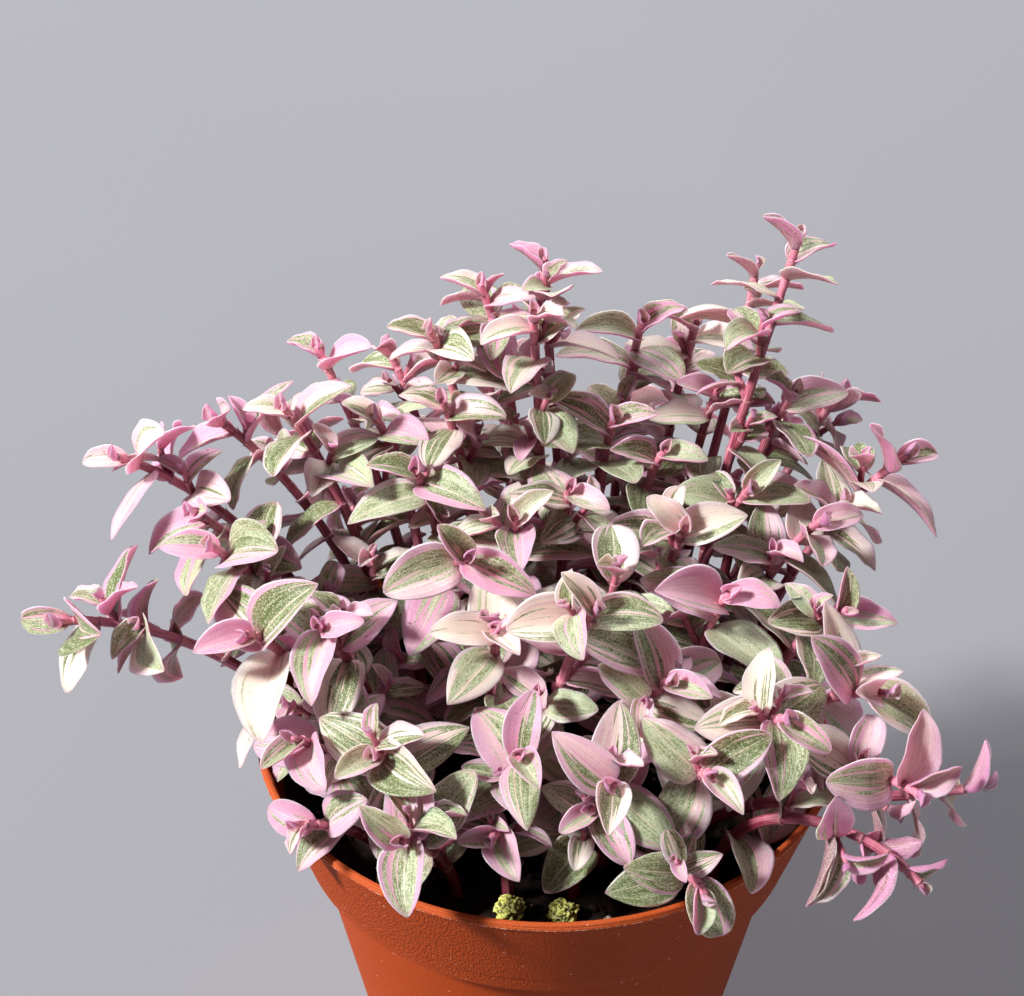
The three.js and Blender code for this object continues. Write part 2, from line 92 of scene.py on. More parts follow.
# Rows of a plain blade's corners as shares of its length, with its half widths and half thickness.
BLADE_ROWS = (0.24, 0.62)
BLADE_HALF_WIDTHS = (0.25, 0.235)
BLADE_HALF_THICKNESS = 0.6

# Where a leaf was in its neighbour's way it was turned, lifted or lowered, and then made smaller.
TURNS = (0, 16, -16, 32, -32, 48, -48)
LIFTS = (0, -13, 13, -26, 26)
SHRINKS = (1, 0.84, 0.7)


@dataclass
class Shoot:
    """A leafy stem: where it leaves the peat, its tip, where the tip points as azimuth and angle above
    the horizon, the length of a grown leaf, and where its youngest leaves point as hours on a clock."""

    root: tuple
    tip: tuple
    aim: tuple
    blade: float
    hours: tuple
    leaves: int = 8
    stretch: float = 1
    rise: float = 0.38


SHOOTS = (
    # the tall ones at the back
    Shoot((31, 30), (50, 50, 190), (50, 66), 15, (1, 9.4, 2.6, 6), leaves=9),
    Shoot((28, 38), (43, 62, 177), (75, 62), 14, (12, 9, 3, 5)),
    Shoot((4, 36), (-2, 51, 184), (100, 70), 14, (12, 9.2, 3, 6)),
    Shoot((-7, 33), (-15, 45, 181), (200, 70), 14, (1, 8.8, 3.2, 11)),
    Shoot((-1, 24), (-4, 34, 181), (260, 72), 14, (12, 4, 8, 2)),
    Shoot((-15, 26), (-25, 38, 174), (215, 66), 15, (2, 9, 4, 11.5)),
    Shoot((-27, 24), (-49, 43, 167), (170, 66), 15, (12, 9, 3, 6)),
    Shoot((13, 40), (19, 53, 168), (290, 66), 16, (11, 2.4, 8.6, 5)),
    Shoot((21, 37), (31, 60, 164), (300, 70), 15, (1, 9, 4)),
    # left side, leaning out over the rim
    Shoot((-33, 14), (-54, 24, 164), (210, 60), 16, (12.3, 9, 2, 5.5)),
    Shoot((-35, 21), (-70, 34, 155), (190, 45), 16, (11, 3, 8, 1)),
    Shoot((-41, 13), (-88, 20, 154), (212, 34), 17, (1, 8.7, 2.4, 6, 11)),
    Shoot((-38, 5), (-72, 11, 147), (215, 45), 16, (12, 3.5, 8, 6)),
    Shoot((-42, -1), (-66, -2, 148), (225, 50), 18, (1.5, 9, 3, 6, 11)),
    Shoot((-44, -8), (-96, -10, 135), (228, 24), 18, (12.5, 9, 3.5, 7), rise=0.44),
    Shoot((-39, -14), (-57, -23, 143), (240, 40), 18, (3, 8.2, 2.2, 10.3, 6)),
    Shoot((-32, -8), (-43, -24, 146), (255, 50), 15, (11, 3, 6.2, 9)),
    # the middle
    Shoot((-17, 9), (-27, 14, 156), (250, 60), 17, (1, 9.2, 4.2, 8.2, 11.6)),
    Shoot((-13, 16), (-22, 27, 164), (240, 64), 15, (12, 9, 3.2, 6)),
    Shoot((-23, 12), (-36, 29, 159), (230, 64), 15, (1, 9.5, 4, 7)),
    Shoot((8, 15), (13, 34, 156), (285, 60), 16, (11, 3.2, 9.6, 8.4, 5.4)),
    Shoot((15, 23), (24, 33, 149), (300, 56), 15, (1, 4, 9, 2)),
    Shoot((23, 15), (41, 22, 147), (290, 50), 16, (10.6, 1.4, 3.3, 9, 6)),
    Shoot((17, 5), (27, 8, 147), (280, 52), 16, (12, 10, 2.8, 9.2, 5.6)),
    Shoot((25, 22), (35, 44, 157), (290, 60), 15, (2, 9, 4)),
    Shoot((-9, 3), (-7, 6, 150), (265, 56), 16, (11, 2, 6, 9)),
    Shoot((2, 6), (4, 14, 152), (280, 60), 15, (1, 4, 8, 11)),
    # right side, leaning out over the rim
    Shoot((35, 24), (51, 42, 158), (320, 62), 16, (12, 9, 3, 6)),
    Shoot((40, 14), (74, 32, 149), (350, 46), 17, (1, 3, 9.4, 5, 11)),
    Shoot((34, 6), (55, 15, 144), (320, 50), 16, (9.6, 3, 7, 12, 5)),
    Shoot((26, -7), (35, -6, 141), (285, 50), 18, (2, 3.4, 8.7, 10, 5)),
    Shoot((41, -2), (58, -8, 139), (305, 40), 14, (4, 12, 3.5, 8.7, 6.3)),
    Shoot((37, -10), (64, -27, 134), (310, 28), 17, (12.7, 9, 3.8, 10.2, 11.6)),
    Shoot((42, -19), (68, -46, 126), (290, 18), 16, (7, 2, 12, 9, 5)),
    Shoot((33, -17), (44, -37, 136), (290, 40), 16, (11, 4, 6, 9, 2)),
    # the front
    Shoot((-28, -1), (-15, -14, 155), (290, 35), 16, (1, 10.2, 4, 8, 3), leaves=10),
    Shoot((-2, -21), (9, -28, 154), (290, 50), 16, (11, 10.4, 3, 8.6, 3.8, 10), leaves=10),
    Shoot((-12, -13), (-10, -24, 146), (270, 50), 15, (2, 5, 9, 12, 7)),
    Shoot((-6, -33), (-5, -46, 134), (268, 42), 15, (1.6, 4.8, 12.2, 6, 10.8, 7)),
    Shoot((11, -31), (12, -51, 132), (274, 40), 17, (10, 6.2, 10.4, 12, 4.3, 1)),
    Shoot((17, -16), (23, -29, 138), (295, 45), 16, (12.5, 4, 11, 2, 7)),
    Shoot((24, -27), (30, -47, 131), (280, 35), 16, (9, 5, 2, 12, 7)),
    Shoot((-17, -40), (-26, -57, 123), (262, 42), 16, (8.5, 10.2, 5.6, 11.4, 2)),
    Shoot((-31, -32), (-47, -46, 116), (225, 30), 12, (11, 5.5, 9.7, 2, 7)),
    Shoot((-37, -24), (-48, -34, 127), (225, 40), 15, (10, 7, 4.5, 9, 1)),
    Shoot((-24, -26), (-32, -42, 130), (245, 42), 16, (12, 8, 4, 10, 2)),
    Shoot((-7, -42), (-10, -50, 117), (262, 15), 12, (6, 8.6, 4.8, 9.6)),
    Shoot((5, -40), (8, -47, 122), (240, 30), 13, (9, 7.6, 5, 10.2)),
    Shoot((20, -40), (29, -60, 113), (285, -6), 14, (2, 6.2, 4.6, 9, 7.6)),
    # the two that trail over the rim on the right
    Shoot((26, -30), (83, -38, 122), (6, 18), 16, (1, 11.4, 3.5, 4.6, 6, 12), stretch=1.7, rise=0.44),
    Shoot((32, -36), (70, -52, 108), (318, -38), 15, (3, 1, 6.6, 4, 6, 12.4), stretch=1.6, rise=0.75),
    # the far side and low in the middle
    Shoot((-20, 36), (-36, 62, 156), (150, 62), 15, (1, 5, 9)),
    Shoot((-6, 43), (-12, 76, 146), (95, 40), 16, (12, 4, 8)),
    Shoot((19, 44), (30, 82, 140), (70, 38), 16, (2, 6, 10)),
    Shoot((38, 30), (64, 62, 146), (30, 45), 16, (1, 5, 9)),
    Shoot((-30, 32), (-62, 58, 138), (150, 38), 16, (11, 3, 7)),
)

# ---- Sizes of the pot, the peat and the stage, in millimetres --------------

# Corners of the pot's section, as radius and height. The collar stands out over the body, and a
# faint step runs round it above its foot.
BASE_RADIUS = 35
HUB_RADIUS = 14
BODY_TOP = (49.6, 78.7)
COLLAR_FOOT = (52.4, 79.2)
COLLAR_STEP = (53.6, 83.8)
STEP_WIDTH, STEP_RISE = 0.22, 0.15
COLLAR_TOP = (59.6, 103.55)
FLOOR = 1.6

# The lip: how much its underside rises outwards, the corners of the groove round it, as how far each
# lies inside the rim and below the top, and the ragged line of flash round its widest part.
LIP_RISE = 0.12
LIP_GROOVE = ((0.06, 0.75), (0.24, 0.62), (0.12, 0.5))
LIP_TAPER = 0.3
FLASH, FLASH_DENT, FLASH_PITCH, FLASH_BAND = 0.2, -0.02, 1.1, 0.05

# How far the edges are rounded: the lip's, the collar's, the top's, the crease under the collar, the
# collar's foot, those inside, and the base's. A rounding takes up no more than a share of a side.
CRISP, FINE, SOFT, CREASE, LEDGE, INSIDE, BASE = 0.08, 0.1, 0.25, 0.3, 0.4, 0.8, 1.0
ROUND_MOST = 0.45
# How far the inside stands out from the wall's thickness at the collar's top, its foot and the base.
INNER_TOP, INNER_FOOT, INNER_BASE = -0.2, 0.36, 0.2
# Where the wall turns by more than this, in degrees, its edge looks sharp.
SHARP_TURN = 40

DRAINS = 6
DRAIN_RING = 25
DRAIN_RADIUS = 4
DRAIN_SIDES = 40

# The peat: its edge and its foot, the width of its rings of points and of the outermost, and its gap to
# the pot's outside.
PEAT_EDGE = 55.1
PEAT_FOOT = 1.9
PEAT_RING, FIRST_RING = 0.9, 0.5
PEAT_SIDES = 220
WALL_GAP = 1.4
# The share and the pitch of each size of lump in its surface.
PEAT_LUMPS = ((0.7, 6.0), (0.6, 2.4), (0.35, 1.1))

# Crumbs and chips: the smallest and the largest, how rare large ones are, how uneven a lump is, the
# pitch of that, and how far its middle lies above the peat as a share of its size.
CRUMB_SIZES = (0.35, 1.5)
CHIP_SIZES = (0.4, 1.5)
LUMP_RARITY = 2.5
LUMP_ROUGHNESS, LUMP_PITCH = 0.3, 1.6
LUMP_RISE = 0.25
LUMP_DETAIL = 2

# Fibres: the shortest and the longest, the thinnest and the thickest, and how far they keep from the edge.
FIBRE_LENGTHS = (3, 8)
FIBRE_RADII = (0.08, 0.2)
FIBRE_MARGIN = 5
FIBRE_ROWS, FIBRE_SIDES = 6, 5

# The mossy clumps: their size beside their solids, and the height and the pitch of their tufts.
CLUMP_SHARE = 0.86
LARGE_TUFTS, LARGE_PITCH = 0.34, 1.9
SMALL_TUFTS, SMALL_PITCH = 0.3, 5
CLUMP_DETAIL = 5

# The stage. The floor's top lies a little under the pot. Angles are in degrees.
FLOOR_RADIUS = 16000
FLOOR_SIDES = 96
FLOOR_FOOT, FLOOR_TOP = -2, -0.1
FLOOR_SHADE = 0.93
CAMERA_YAW = -1.28
CAMERA_PITCH = 34.7
SENSOR_WIDTH = 36
# The nearest and the farthest that the camera sees, in metres.
CAMERA_CLIP = (0.01, 20)
KEY = {"place": (-3400, -1420, 3400), "size": 700, "colour": (1.0, 0.975, 0.95)}
FILL = {"place": (200, 1500, 1600), "size": 1400, "colour": (1.0, 0.95, 0.97)}
AIR_COLOUR = (0.86, 0.82, 0.82, 1)
AIR_STRENGTH = 0.13

UP = np.array([0.0, 0.0, 1.0])
# Where twelve on a stem's clock points: up and away from the camera.
TWELVE = np.array([0.0, 0.7, 0.7])


def unit(vector):
    return vector / np.linalg.norm(vector)


def paint(red, green, blue):
    """A colour given as it looks on a screen, 0 to 255, as the numbers that Blender's colours hold."""
    shares = [value / 255 for value in (red, green, blue)]
    linear = [s / 12.92 if s <= 0.04045 else ((s + 0.055) / 1.055) ** 2.4 for s in shares]
    return (*linear, 1.0)


# ---- Properties ------------------------------------------------------------


def length_property(name, description, millimetres):
    return FloatProperty(name=name, description=description, default=millimetres * MM, unit="LENGTH", min=0)


def colour_property(name, description, *screen):
    return FloatVectorProperty(
        name=name, description=description, default=paint(*screen), subtype="COLOR", size=4, min=0, max=1
    )


class PotSettings(bpy.types.PropertyGroup):
    """Sizes and colours of the pot."""

    rim_radius: FloatProperty(
        name="Rim radius", description="Outer radius of the lip", default=POT_HIGH.x, unit="LENGTH"
    )
    height: FloatProperty(
        name="Height", description="Height of the pot", default=POT_HIGH.z, unit="LENGTH"
    )
    wall: length_property("Wall", "Thickness of the moulded wall", 1.2)
    sides: IntProperty(name="Sides", description="Flats round the pot", default=256, min=32)
    colour: colour_property("Plastic", "Colour of the moulded plastic", 172, 68, 22)
    # Painted highlight: the paler colour painted on the lip and on specks of the grain, also mixed in at
    # random as a change of tone
    highlight_and_tone: colour_property("Edge", "Colour of the plastic where its edges are rubbed", 218, 124, 82)
    # Painted glint: the pale colour painted along the ragged flash under the lip and on the specks
    glint_colour: colour_property("Flash", "Colour of the ragged line under the lip", 240, 206, 186)


class PeatSettings(bpy.types.PropertyGroup):
    """Sizes and colours of the peat and of what lies on it."""

    relief: length_property("Relief", "Height of the lumps in the surface", 1.1)
    crumbs: IntProperty(name="Crumbs", description="Loose crumbs on the surface", default=1300, min=0)
    chips: IntProperty(name="Chips", description="Pale chips on the surface", default=70, min=0)
    fibres: IntProperty(name="Fibres", description="Fibres on the surface", default=150, min=0)
    colour: colour_property("Peat", "Colour of the damp peat", 18, 12, 9)
    dry: colour_property("Dry peat", "Colour of the crumbs that have dried", 58, 38, 25)
    chip: colour_property("Chip", "Colour of the pale chips", 226, 218, 198)
    moss: colour_property("Moss", "Colour of the clumps at the rim", 226, 228, 118)
    # Painted shade: the colour painted into the hollows of the clumps
    hollow_shade: colour_property("Hollow", "Colour of the hollows in the clumps", 92, 92, 34)
    # Painted highlight: the colour of the pale specks painted on the clumps
    tuft_highlight: colour_property("Tuft", "Palest colour of the clumps", 250, 250, 214)


class FoliageSettings(bpy.types.PropertyGroup):
    """Sizes and colours of the leaves and stems."""

    stem_radius: length_property("Stem radius", "Radius of a stem where it leaves the peat", 1.28)
    leaf_thickness: length_property("Leaf thickness", "Thickness of a leaf at its rib", 0.6)
    young: IntProperty(name="Young shoots", description="Short shoots tried", default=90, min=0)
    branching: FloatProperty(
        name="Branching", description="Share of the leaves that have a side shoot", default=0.85, min=0, max=1
    )
    green: colour_property("Green", "Colour of the green stripes", 90, 106, 55)
    silver: colour_property("Silver green", "Colour of the green stripes where they shine", 176, 186, 152)
    pink: colour_property("Pink", "Colour between the stripes", 207, 151, 178)
    cream: colour_property("Cream", "Palest colour between the stripes", 232, 209, 195)
    # Painted sparkle: the colour of the glints painted on the cells
    sparkle: colour_property("Sparkle", "Colour of the pearly cells", 250, 244, 236)
    magenta: colour_property("Magenta", "Colour of the young leaves and the leaf bases", 206, 102, 160)
    plum: colour_property("Plum", "Colour of the undersides", 182, 108, 154)
    maroon: colour_property("Maroon", "Colour of the stems", 116, 30, 52)
    rose: colour_property("Rose", "Colour of the young stems", 224, 138, 162)
    sheath: colour_property("Sheath", "Colour of the sheaths round the stems", 220, 166, 166)


class StageSettings(bpy.types.PropertyGroup):
    """The floor, the camera and the lights."""

    floor: colour_property("Floor", "Colour of the floor", 132, 134, 140)
    camera_height: length_property("Camera height", "Height of the camera above the floor", 386)
    camera_distance: length_property("Camera distance", "How far the camera stands back", 328)
    lens: FloatProperty(name="Lens", description="Focal length", default=73.0, min=1)
    key_power: FloatProperty(name="Key", description="Power of the main light", default=480.0, unit="POWER")
    fill_power: FloatProperty(name="Fill", description="Power of the soft light", default=44.0, unit="POWER")


# ---- Shader maths ----------------------------------------------------------

# The numbers of a colour Mix node's sockets.
MIX_FACTOR, MIX_FIRST, MIX_SECOND, MIX_COLOUR = 0, 6, 7, 2


class Term:
    """An output of a shader node. Sums and products of terms add their Math nodes."""

    def __init__(self, finish, socket):
        self.finish = finish
        self.socket = socket

    def __add__(self, other):
        return self.finish.math("ADD", self, other)

    __radd__ = __add__

    def __sub__(self, other):
        return self.finish.math("SUBTRACT", self, other)

    def __rsub__(self, other):
        return self.finish.math("SUBTRACT", other, self)

    def __mul__(self, other):
        return self.finish.math("MULTIPLY", self, other)

    __rmul__ = __mul__

    def __pow__(self, other):
        return self.finish.math("POWER", self, other)

    def __abs__(self):
        return self.finish.math("ABSOLUTE", self)

    def part(self, name):
        """Another output of the same node."""
        return Term(self.finish, self.socket.node.outputs[name])

    def step(self, low, high):
        """0 below low and 1 above high, with a smooth change between them."""
        edges = {"Value": self, "From Min": low, "From Max": high}
        return self.finish.node("ShaderNodeMapRange", {"interpolation_type": "SMOOTHSTEP"}, edges)


class Finish:
    """A material in the making."""

    def __init__(self, name):
        self.material = bpy.data.materials.new(name)
        self.material.use_nodes = True
        self.tree = self.material.node_tree
        self.tree.nodes.clear()

    def node(self, kind, settings=None, inputs=None, output=0):
        """Adds a node, makes its settings, then sets or links its sockets, and gives one output."""
        made = self.tree.nodes.new(kind)
        for name, value in (settings or {}).items():
            setattr(made, name, value)
        for name, value in (inputs or {}).items():
            if isinstance(value, Term):
                self.tree.links.new(value.socket, made.inputs[name])
            else:
                made.inputs[name].default_value = value
        return Term(self, made.outputs[output]) if made.outputs else None

    def math(self, operation, *values):
        return self.node("ShaderNodeMath", {"operation": operation}, dict(enumerate(values)))

    def mix(self, factor, first, second):
        inputs = {MIX_FACTOR: factor, MIX_FIRST: first, MIX_SECOND: second}
        return self.node("ShaderNodeMix", {"data_type": "RGBA"}, inputs, MIX_COLOUR)

    def vector(self, x, y, z):
        return self.node("ShaderNodeCombineXYZ", {}, {"X": x, "Y": y, "Z": z})

    def stretch(self, vector, x, y, z):
        return self.node("ShaderNodeVectorMath", {"operation": "MULTIPLY"}, {0: vector, 1: (x, y, z)})

    def split(self, vector):
        whole = self.node("ShaderNodeSeparateXYZ", {}, {"Vector": vector})
        return whole.part("X"), whole.part("Y"), whole.part("Z")

    def attribute(self, name):
        """The three numbers that a mesh holds at each point under this name."""
        return self.split(self.node("ShaderNodeAttribute", {"attribute_name": name}, output="Vector"))

    def place(self):
        """The point itself, in metres."""
        return self.node("ShaderNodeTexCoord", output="Object")

    def noise(self, vector, scale, detail=2.0, roughness=0.5):
        inputs = {"Vector": vector, "Scale": scale, "Detail": detail, "Roughness": roughness}
        return self.node("ShaderNodeTexNoise", {}, inputs)

    def bump(self, height, depth, strength=1.0):
        """A surface that rises by the height, which runs from 0 to 1, times the depth in millimetres."""
        inputs = {"Height": height, "Distance": depth * MM, "Strength": strength}
        return self.node("ShaderNodeBump", {}, inputs)

    def surface(self, **inputs):
        """Ends the material in a Principled shader. A name's underscores stand for spaces."""
        named = {name.replace("_", " "): value for name, value in inputs.items()}
        shader = self.node("ShaderNodeBsdfPrincipled", {}, named)
        self.node("ShaderNodeOutputMaterial", {}, {"Surface": shader})
        return self.material


# ---- Meshes ----------------------------------------------------------------

PLACE, TONE = "growth_place", "growth_tone"


class Growth:
    """Points and faces in the making, with two sets of three numbers at each point for the finishes."""

    def __init__(self):
        self.points = []
        self.faces = []
        self.slots = []
        self.place = []
        self.tone = []
        self.count = 0

    def add(self, points, faces, slot=0, place=None, tone=None):
        blank = np.zeros((len(points), 3))
        self.points.append(np.asarray(points, float))
        self.place.append(blank if place is None else place)
        self.tone.append(blank if tone is None else tone)
        self.faces.extend(tuple(corner + self.count for corner in face) for face in faces)
        self.slots.extend([slot] * len(faces))
        self.count += len(points)

    def piece(self, name, materials, slot, replaced=()):
        """Makes the object, which rides on the part's one body and stands for the solids it replaces."""
        mesh = bpy.data.meshes.new(name)
        mesh.from_pydata((np.concatenate(self.points) * MM).tolist(), [], self.faces)
        for material in materials:
            mesh.materials.append(material)
        mesh.polygons.foreach_set("material_index", self.slots)
        mesh.polygons.foreach_set("use_smooth", [True] * len(self.faces))
        for attribute, values in ((PLACE, self.place), (TONE, self.tone)):
            layer = mesh.attributes.new(attribute, "FLOAT_VECTOR", "POINT")
            layer.data.foreach_set("vector", np.concatenate(values).ravel())
        mesh.validate()
        made = put(name, mesh)
        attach(made, "root")
        if replaced:
            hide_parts(*replaced)
        return made


def put(name, data):
    """Puts a new object into the scene."""
    made = bpy.data.objects.new(name, data)
    bpy.context.scene.collection.objects.link(made)
    return made


def band_faces(rows, sides):
    """The faces between rings of points that each hold this many, the rings one after the other."""
    faces = []
    for row in range(rows - 1):
        for side in range(sides):
            after = (side + 1) % sides
            low, high = row * sides, (row + 1) * sides
            faces.append((low + side, low + after, high + after, high + side))
    return faces


def fan(centre, start, count, outwards):
    """The faces from the point numbered centre to a ring of points, whose numbers run on from start."""
    sides = [(start + k, start + (k + 1) % count) for k in range(count)]
    return [(centre, after, side) if outwards else (centre, side, after) for side, after in sides]


def closed_faces(rows, sides):
    """The faces of a closed form: its rings of points, then its first point and its last."""
    count = rows * sides
    ends = fan(count, 0, sides, True) + fan(count + 1, count - sides, sides, False)
    return band_faces(rows, sides) + ends


def lathe(outline, sides):
    """Turns a section round the Z axis. It starts and ends on the axis, low to high on the outside."""
    angles = np.arange(sides) * math.tau / sides
    rings = [
        np.column_stack([radius * np.cos(angles), radius * np.sin(angles), np.full(sides, height)])
        for radius, height in outline[1:-1]
    ]
    points = np.concatenate([*rings, [(0, 0, outline[0][1])], [(0, 0, outline[-1][1])]])
    return points, closed_faces(len(rings), sides)


def rounded(corners, steps=4):
    """A section outline with its corners rounded off. A corner is (radius, height, rounding)."""
    outline = []
    for number, (radius, height, rounding) in enumerate(corners):
        corner = np.array([radius, height], float)
        if rounding == 0:
            outline.append(tuple(corner))
            continue
        before = np.array(corners[number - 1][:2], float) - corner
        after = np.array(corners[number + 1][:2], float) - corner
        start = corner + unit(before) * min(rounding, ROUND_MOST * np.linalg.norm(before))
        end = corner + unit(after) * min(rounding, ROUND_MOST * np.linalg.norm(after))
        for share in np.linspace(0, 1, steps + 1):
            curve = (1 - share) ** 2 * start + 2 * share * (1 - share) * corner + share**2 * end
            outline.append(tuple(curve))
    return outline


def lump(detail):
    """The points and faces of a ball of radius 1."""
    ball = bmesh.new()
    bmesh.ops.create_icosphere(ball, subdivisions=detail, radius=1)
    points = np.array([vertex.co[:] for vertex in ball.verts])
    faces = [tuple(vertex.index for vertex in face.verts) for face in ball.faces]
    ball.free()
    return points, faces


def turned(rng):
    """A turn to any side, as a 3 by 3 matrix."""
    heading = unit(np.array([rng.gauss(0, 1) for _ in range(3)]))
    across = unit(np.cross(heading, UP + 0.01))
    return np.array([heading, across, np.cross(heading, across)])


def on_peat(rng, edge):
    """A random spot on the peat."""
    radius, angle = edge * math.sqrt(rng.random()), rng.uniform(0, math.tau)
    return radius * math.cos(angle), radius * math.sin(angle)


# ---- Stems and leaves: where they go ---------------------------------------


class StemLine:
    """The middle line of a stem, a cubic curve, read by its share of the length from the root."""

    STEPS = 200

    def __init__(self, root, rise, reach, tip):
        self.poles = np.array([root, rise, reach, tip], float)
        self.times = np.linspace(0, 1, self.STEPS + 1)
        points = np.array([self.at_time(time) for time in self.times])
        steps = np.linalg.norm(np.diff(points, axis=0), axis=1)
        self.lengths = np.concatenate([[0], np.cumsum(steps)])
        self.length = self.lengths[-1]

    def at_time(self, t):
        weights = np.array([(1 - t) ** 3, 3 * (1 - t) ** 2 * t, 3 * (1 - t) * t**2, t**3])
        return weights @ self.poles

    def at(self, share):
        """The point and the direction there."""
        t = float(np.interp(share * self.length, self.lengths, self.times))
        weights = np.array([(1 - t) ** 2, 2 * (1 - t) * t, t**2])
        return self.at_time(t), unit(weights @ np.diff(self.poles, axis=0))


def main_line(shoot):
    """The middle line of a grown shoot's stem, as its solid has it."""
    azimuth, elevation = np.radians(shoot.aim)
    level = math.cos(elevation)
    aim = np.array([level * math.cos(azimuth), level * math.sin(azimuth), math.sin(elevation)])
    root = np.array([*shoot.root, SOIL_TOP - ROOT_DEPTH], float)
    tip = np.array(shoot.tip, float)
    span = np.linalg.norm(tip - root)
    return StemLine(root, root + UP * span * shoot.rise, tip - aim * span * STEM_REACH, tip)


def plant_draws(seed):
    """The plant's own rule for its draws, which its solids share."""
    state = (seed * 7919 + 104729) % 2**32
    while True:
        state = (state * 1664525 + 1013904223) % 2**32
        yield state / 2**32


@dataclass
class Plan:
    """A leaf as it would like to stand, before it is turned clear of its neighbours."""

    base: np.ndarray
    tangent: np.ndarray
    hour: float
    turn: float
    open: float
    size: float
    bend: float
    index: int
    down: float


@dataclass
class Leaf:
    """A leaf in place: its base, the way it runs, its face, its length and how far it bends back."""

    base: np.ndarray
    along: np.ndarray
    face: np.ndarray
    side: np.ndarray
    length: float
    bend: float
    index: int
    down: float

    def rib(self, share):
        """The point on the rib at a share of its length, and the face there."""
        angle = self.bend * share
        radius = self.length / self.bend
        point = self.base + self.along * radius * math.sin(angle)
        point = point - self.face * radius * (1 - math.cos(angle))
        return point, self.face * math.cos(angle) + self.along * math.sin(angle)

    def plain(self, swell=0.0):
        """The eight corners of the plain blade, swollen to leave room round it."""
        corners = [self.rib(0)[0]]
        slim = BUD_SLIMNESS if self.index == 0 else 1
        for share, half_width in zip(BLADE_ROWS, BLADE_HALF_WIDTHS):
            point, face = self.rib(share)
            half = self.length * half_width * slim + swell
            thick = BLADE_HALF_THICKNESS + swell
            corners.append(point + self.side * half + face * thick)
            corners.append(point - self.side * half + face * thick)
            corners.append(point - face * thick)
        corners.append(self.rib(1 + swell / self.length)[0])
        return np.array(corners)


# The faces of a plain blade past its first row, which is what has to keep clear.
OUTER_FACES = [
    face
    for k in range(3)
    for a, b, c, d in [(1 + k, 1 + (k + 1) % 3, 4 + (k + 1) % 3, 4 + k)]
    for face in ((a, d, b), (b, d, c), (7, c, d))
]


def leaf_hour(hours, index):
    """Where a leaf points, in hours. Older leaves than those given go on round the spiral."""
    last = len(hours) - 1
    return hours[index] if index <= last else hours[last] + SPIRAL_HOURS * (index - last)


def plan_leaf(line, draws, hours, index, down, blade):
    """Draws a leaf and gives its plan, or None where it would stand in the peat or below the root."""
    turn = (next(draws) - 0.5) * TURN_SPREAD
    opened = LEAF_OPEN[index] + (next(draws) - 0.5) * OPEN_SPREAD
    size = blade * LEAF_SIZE[index] * (SIZE_LEAST + SIZE_SPREAD * next(draws))
    bend = BEND_LEAST + BEND_SPREAD * next(draws)
    share = 1 - down / line.length
    base, tangent = line.at(max(share, 0))
    if base[2] <= SOIL_TOP + LOWEST_LEAF or share <= 0:
        return None
    return Plan(base, tangent, leaf_hour(hours, index), turn, opened, size, bend, index, down)


def clock_face(tangent):
    """Twelve and three on the clock square to a stem."""
    twelve = unit(TWELVE - tangent * TWELVE.dot(tangent))
    return twelve, np.cross(twelve, tangent)


def place_leaf(plan, extra_turn, lift, shrink):
    """A leaf turned round its stem, opened further and shrunk from its plan."""
    twelve, three = clock_face(plan.tangent)
    clock = plan.hour / 12 * math.tau + math.radians(plan.turn + extra_turn)
    opened = math.radians(plan.open + lift)
    out = twelve * math.cos(clock) + three * math.sin(clock)
    along = plan.tangent * math.cos(opened) + out * math.sin(opened)
    face = plan.tangent * math.sin(opened) - out * math.cos(opened)
    side = np.cross(along, face)
    length = plan.size * shrink
    return Leaf(plan.base, along, face, side, length, math.radians(plan.bend), plan.index, plan.down)


def leaf_candidates(plan):
    """The places that a leaf tries, the one it was planned for first."""
    for shrink in SHRINKS:
        for lift in LIFTS:
            for turn in TURNS:
                yield place_leaf(plan, turn, lift, shrink)


# ---- Stems and leaves: which stand, and what else grows between them -------

# How close a leaf's corner lies to its solid's corner, in millimetres.
MATCH = 0.05


class Solid:
    """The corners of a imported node, to tell which of a leaf's places it took."""

    def __init__(self, node):
        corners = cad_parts[node].data.vertices
        self.tree = KDTree(len(corners))
        for number, corner in enumerate(corners):
            self.tree.insert(corner.co, number)
        self.tree.balance()

    def has(self, point):
        return self.tree.find(Vector(point) * MM)[2] < MATCH * MM

    def holds(self, leaf):
        corners = leaf.plain()
        return self.has(corners[-1]) and any(self.has(corner) for corner in corners[1:-1])


class Crowd:
    """Everything placed so far. New growth keeps clear of it."""

    # So many new faces are held in a small tree of their own before the large one is built again.
    FRESH = 500

    def __init__(self):
        self.old_points, self.old_faces = [], []
        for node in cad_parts.values():
            start = len(self.old_points)
            self.old_points.extend(vertex.co[:] for vertex in node.data.vertices)
            self.old_faces.extend([start + k for k in face.vertices] for face in node.data.polygons)
        self.points, self.faces = [], []
        self.old_tree = BVHTree.FromPolygons(self.old_points, self.old_faces)
        self.tree = None

    def add(self, points, faces):
        start = len(self.points)
        self.points.extend((points * MM).tolist())
        self.faces.extend([start + k for k in face] for face in faces)
        if len(self.faces) > self.FRESH:
            start = len(self.old_points)
            self.old_points.extend(self.points)
            self.old_faces.extend([start + k for k in face] for face in self.faces)
            self.points, self.faces = [], []
            self.old_tree = BVHTree.FromPolygons(self.old_points, self.old_faces)
        self.tree = BVHTree.FromPolygons(self.points, self.faces) if self.faces else None

    def meets(self, points, faces):
        probe = BVHTree.FromPolygons((points * MM).tolist(), faces)
        return any(probe.overlap(tree) for tree in (self.old_tree, self.tree) if tree)


# ---- Stems and leaves: their forms -----------------------------------------

LEAF_SLOT, STEM_SLOT = 0, 1
LEAF_HALF_WIDTH = 0.31
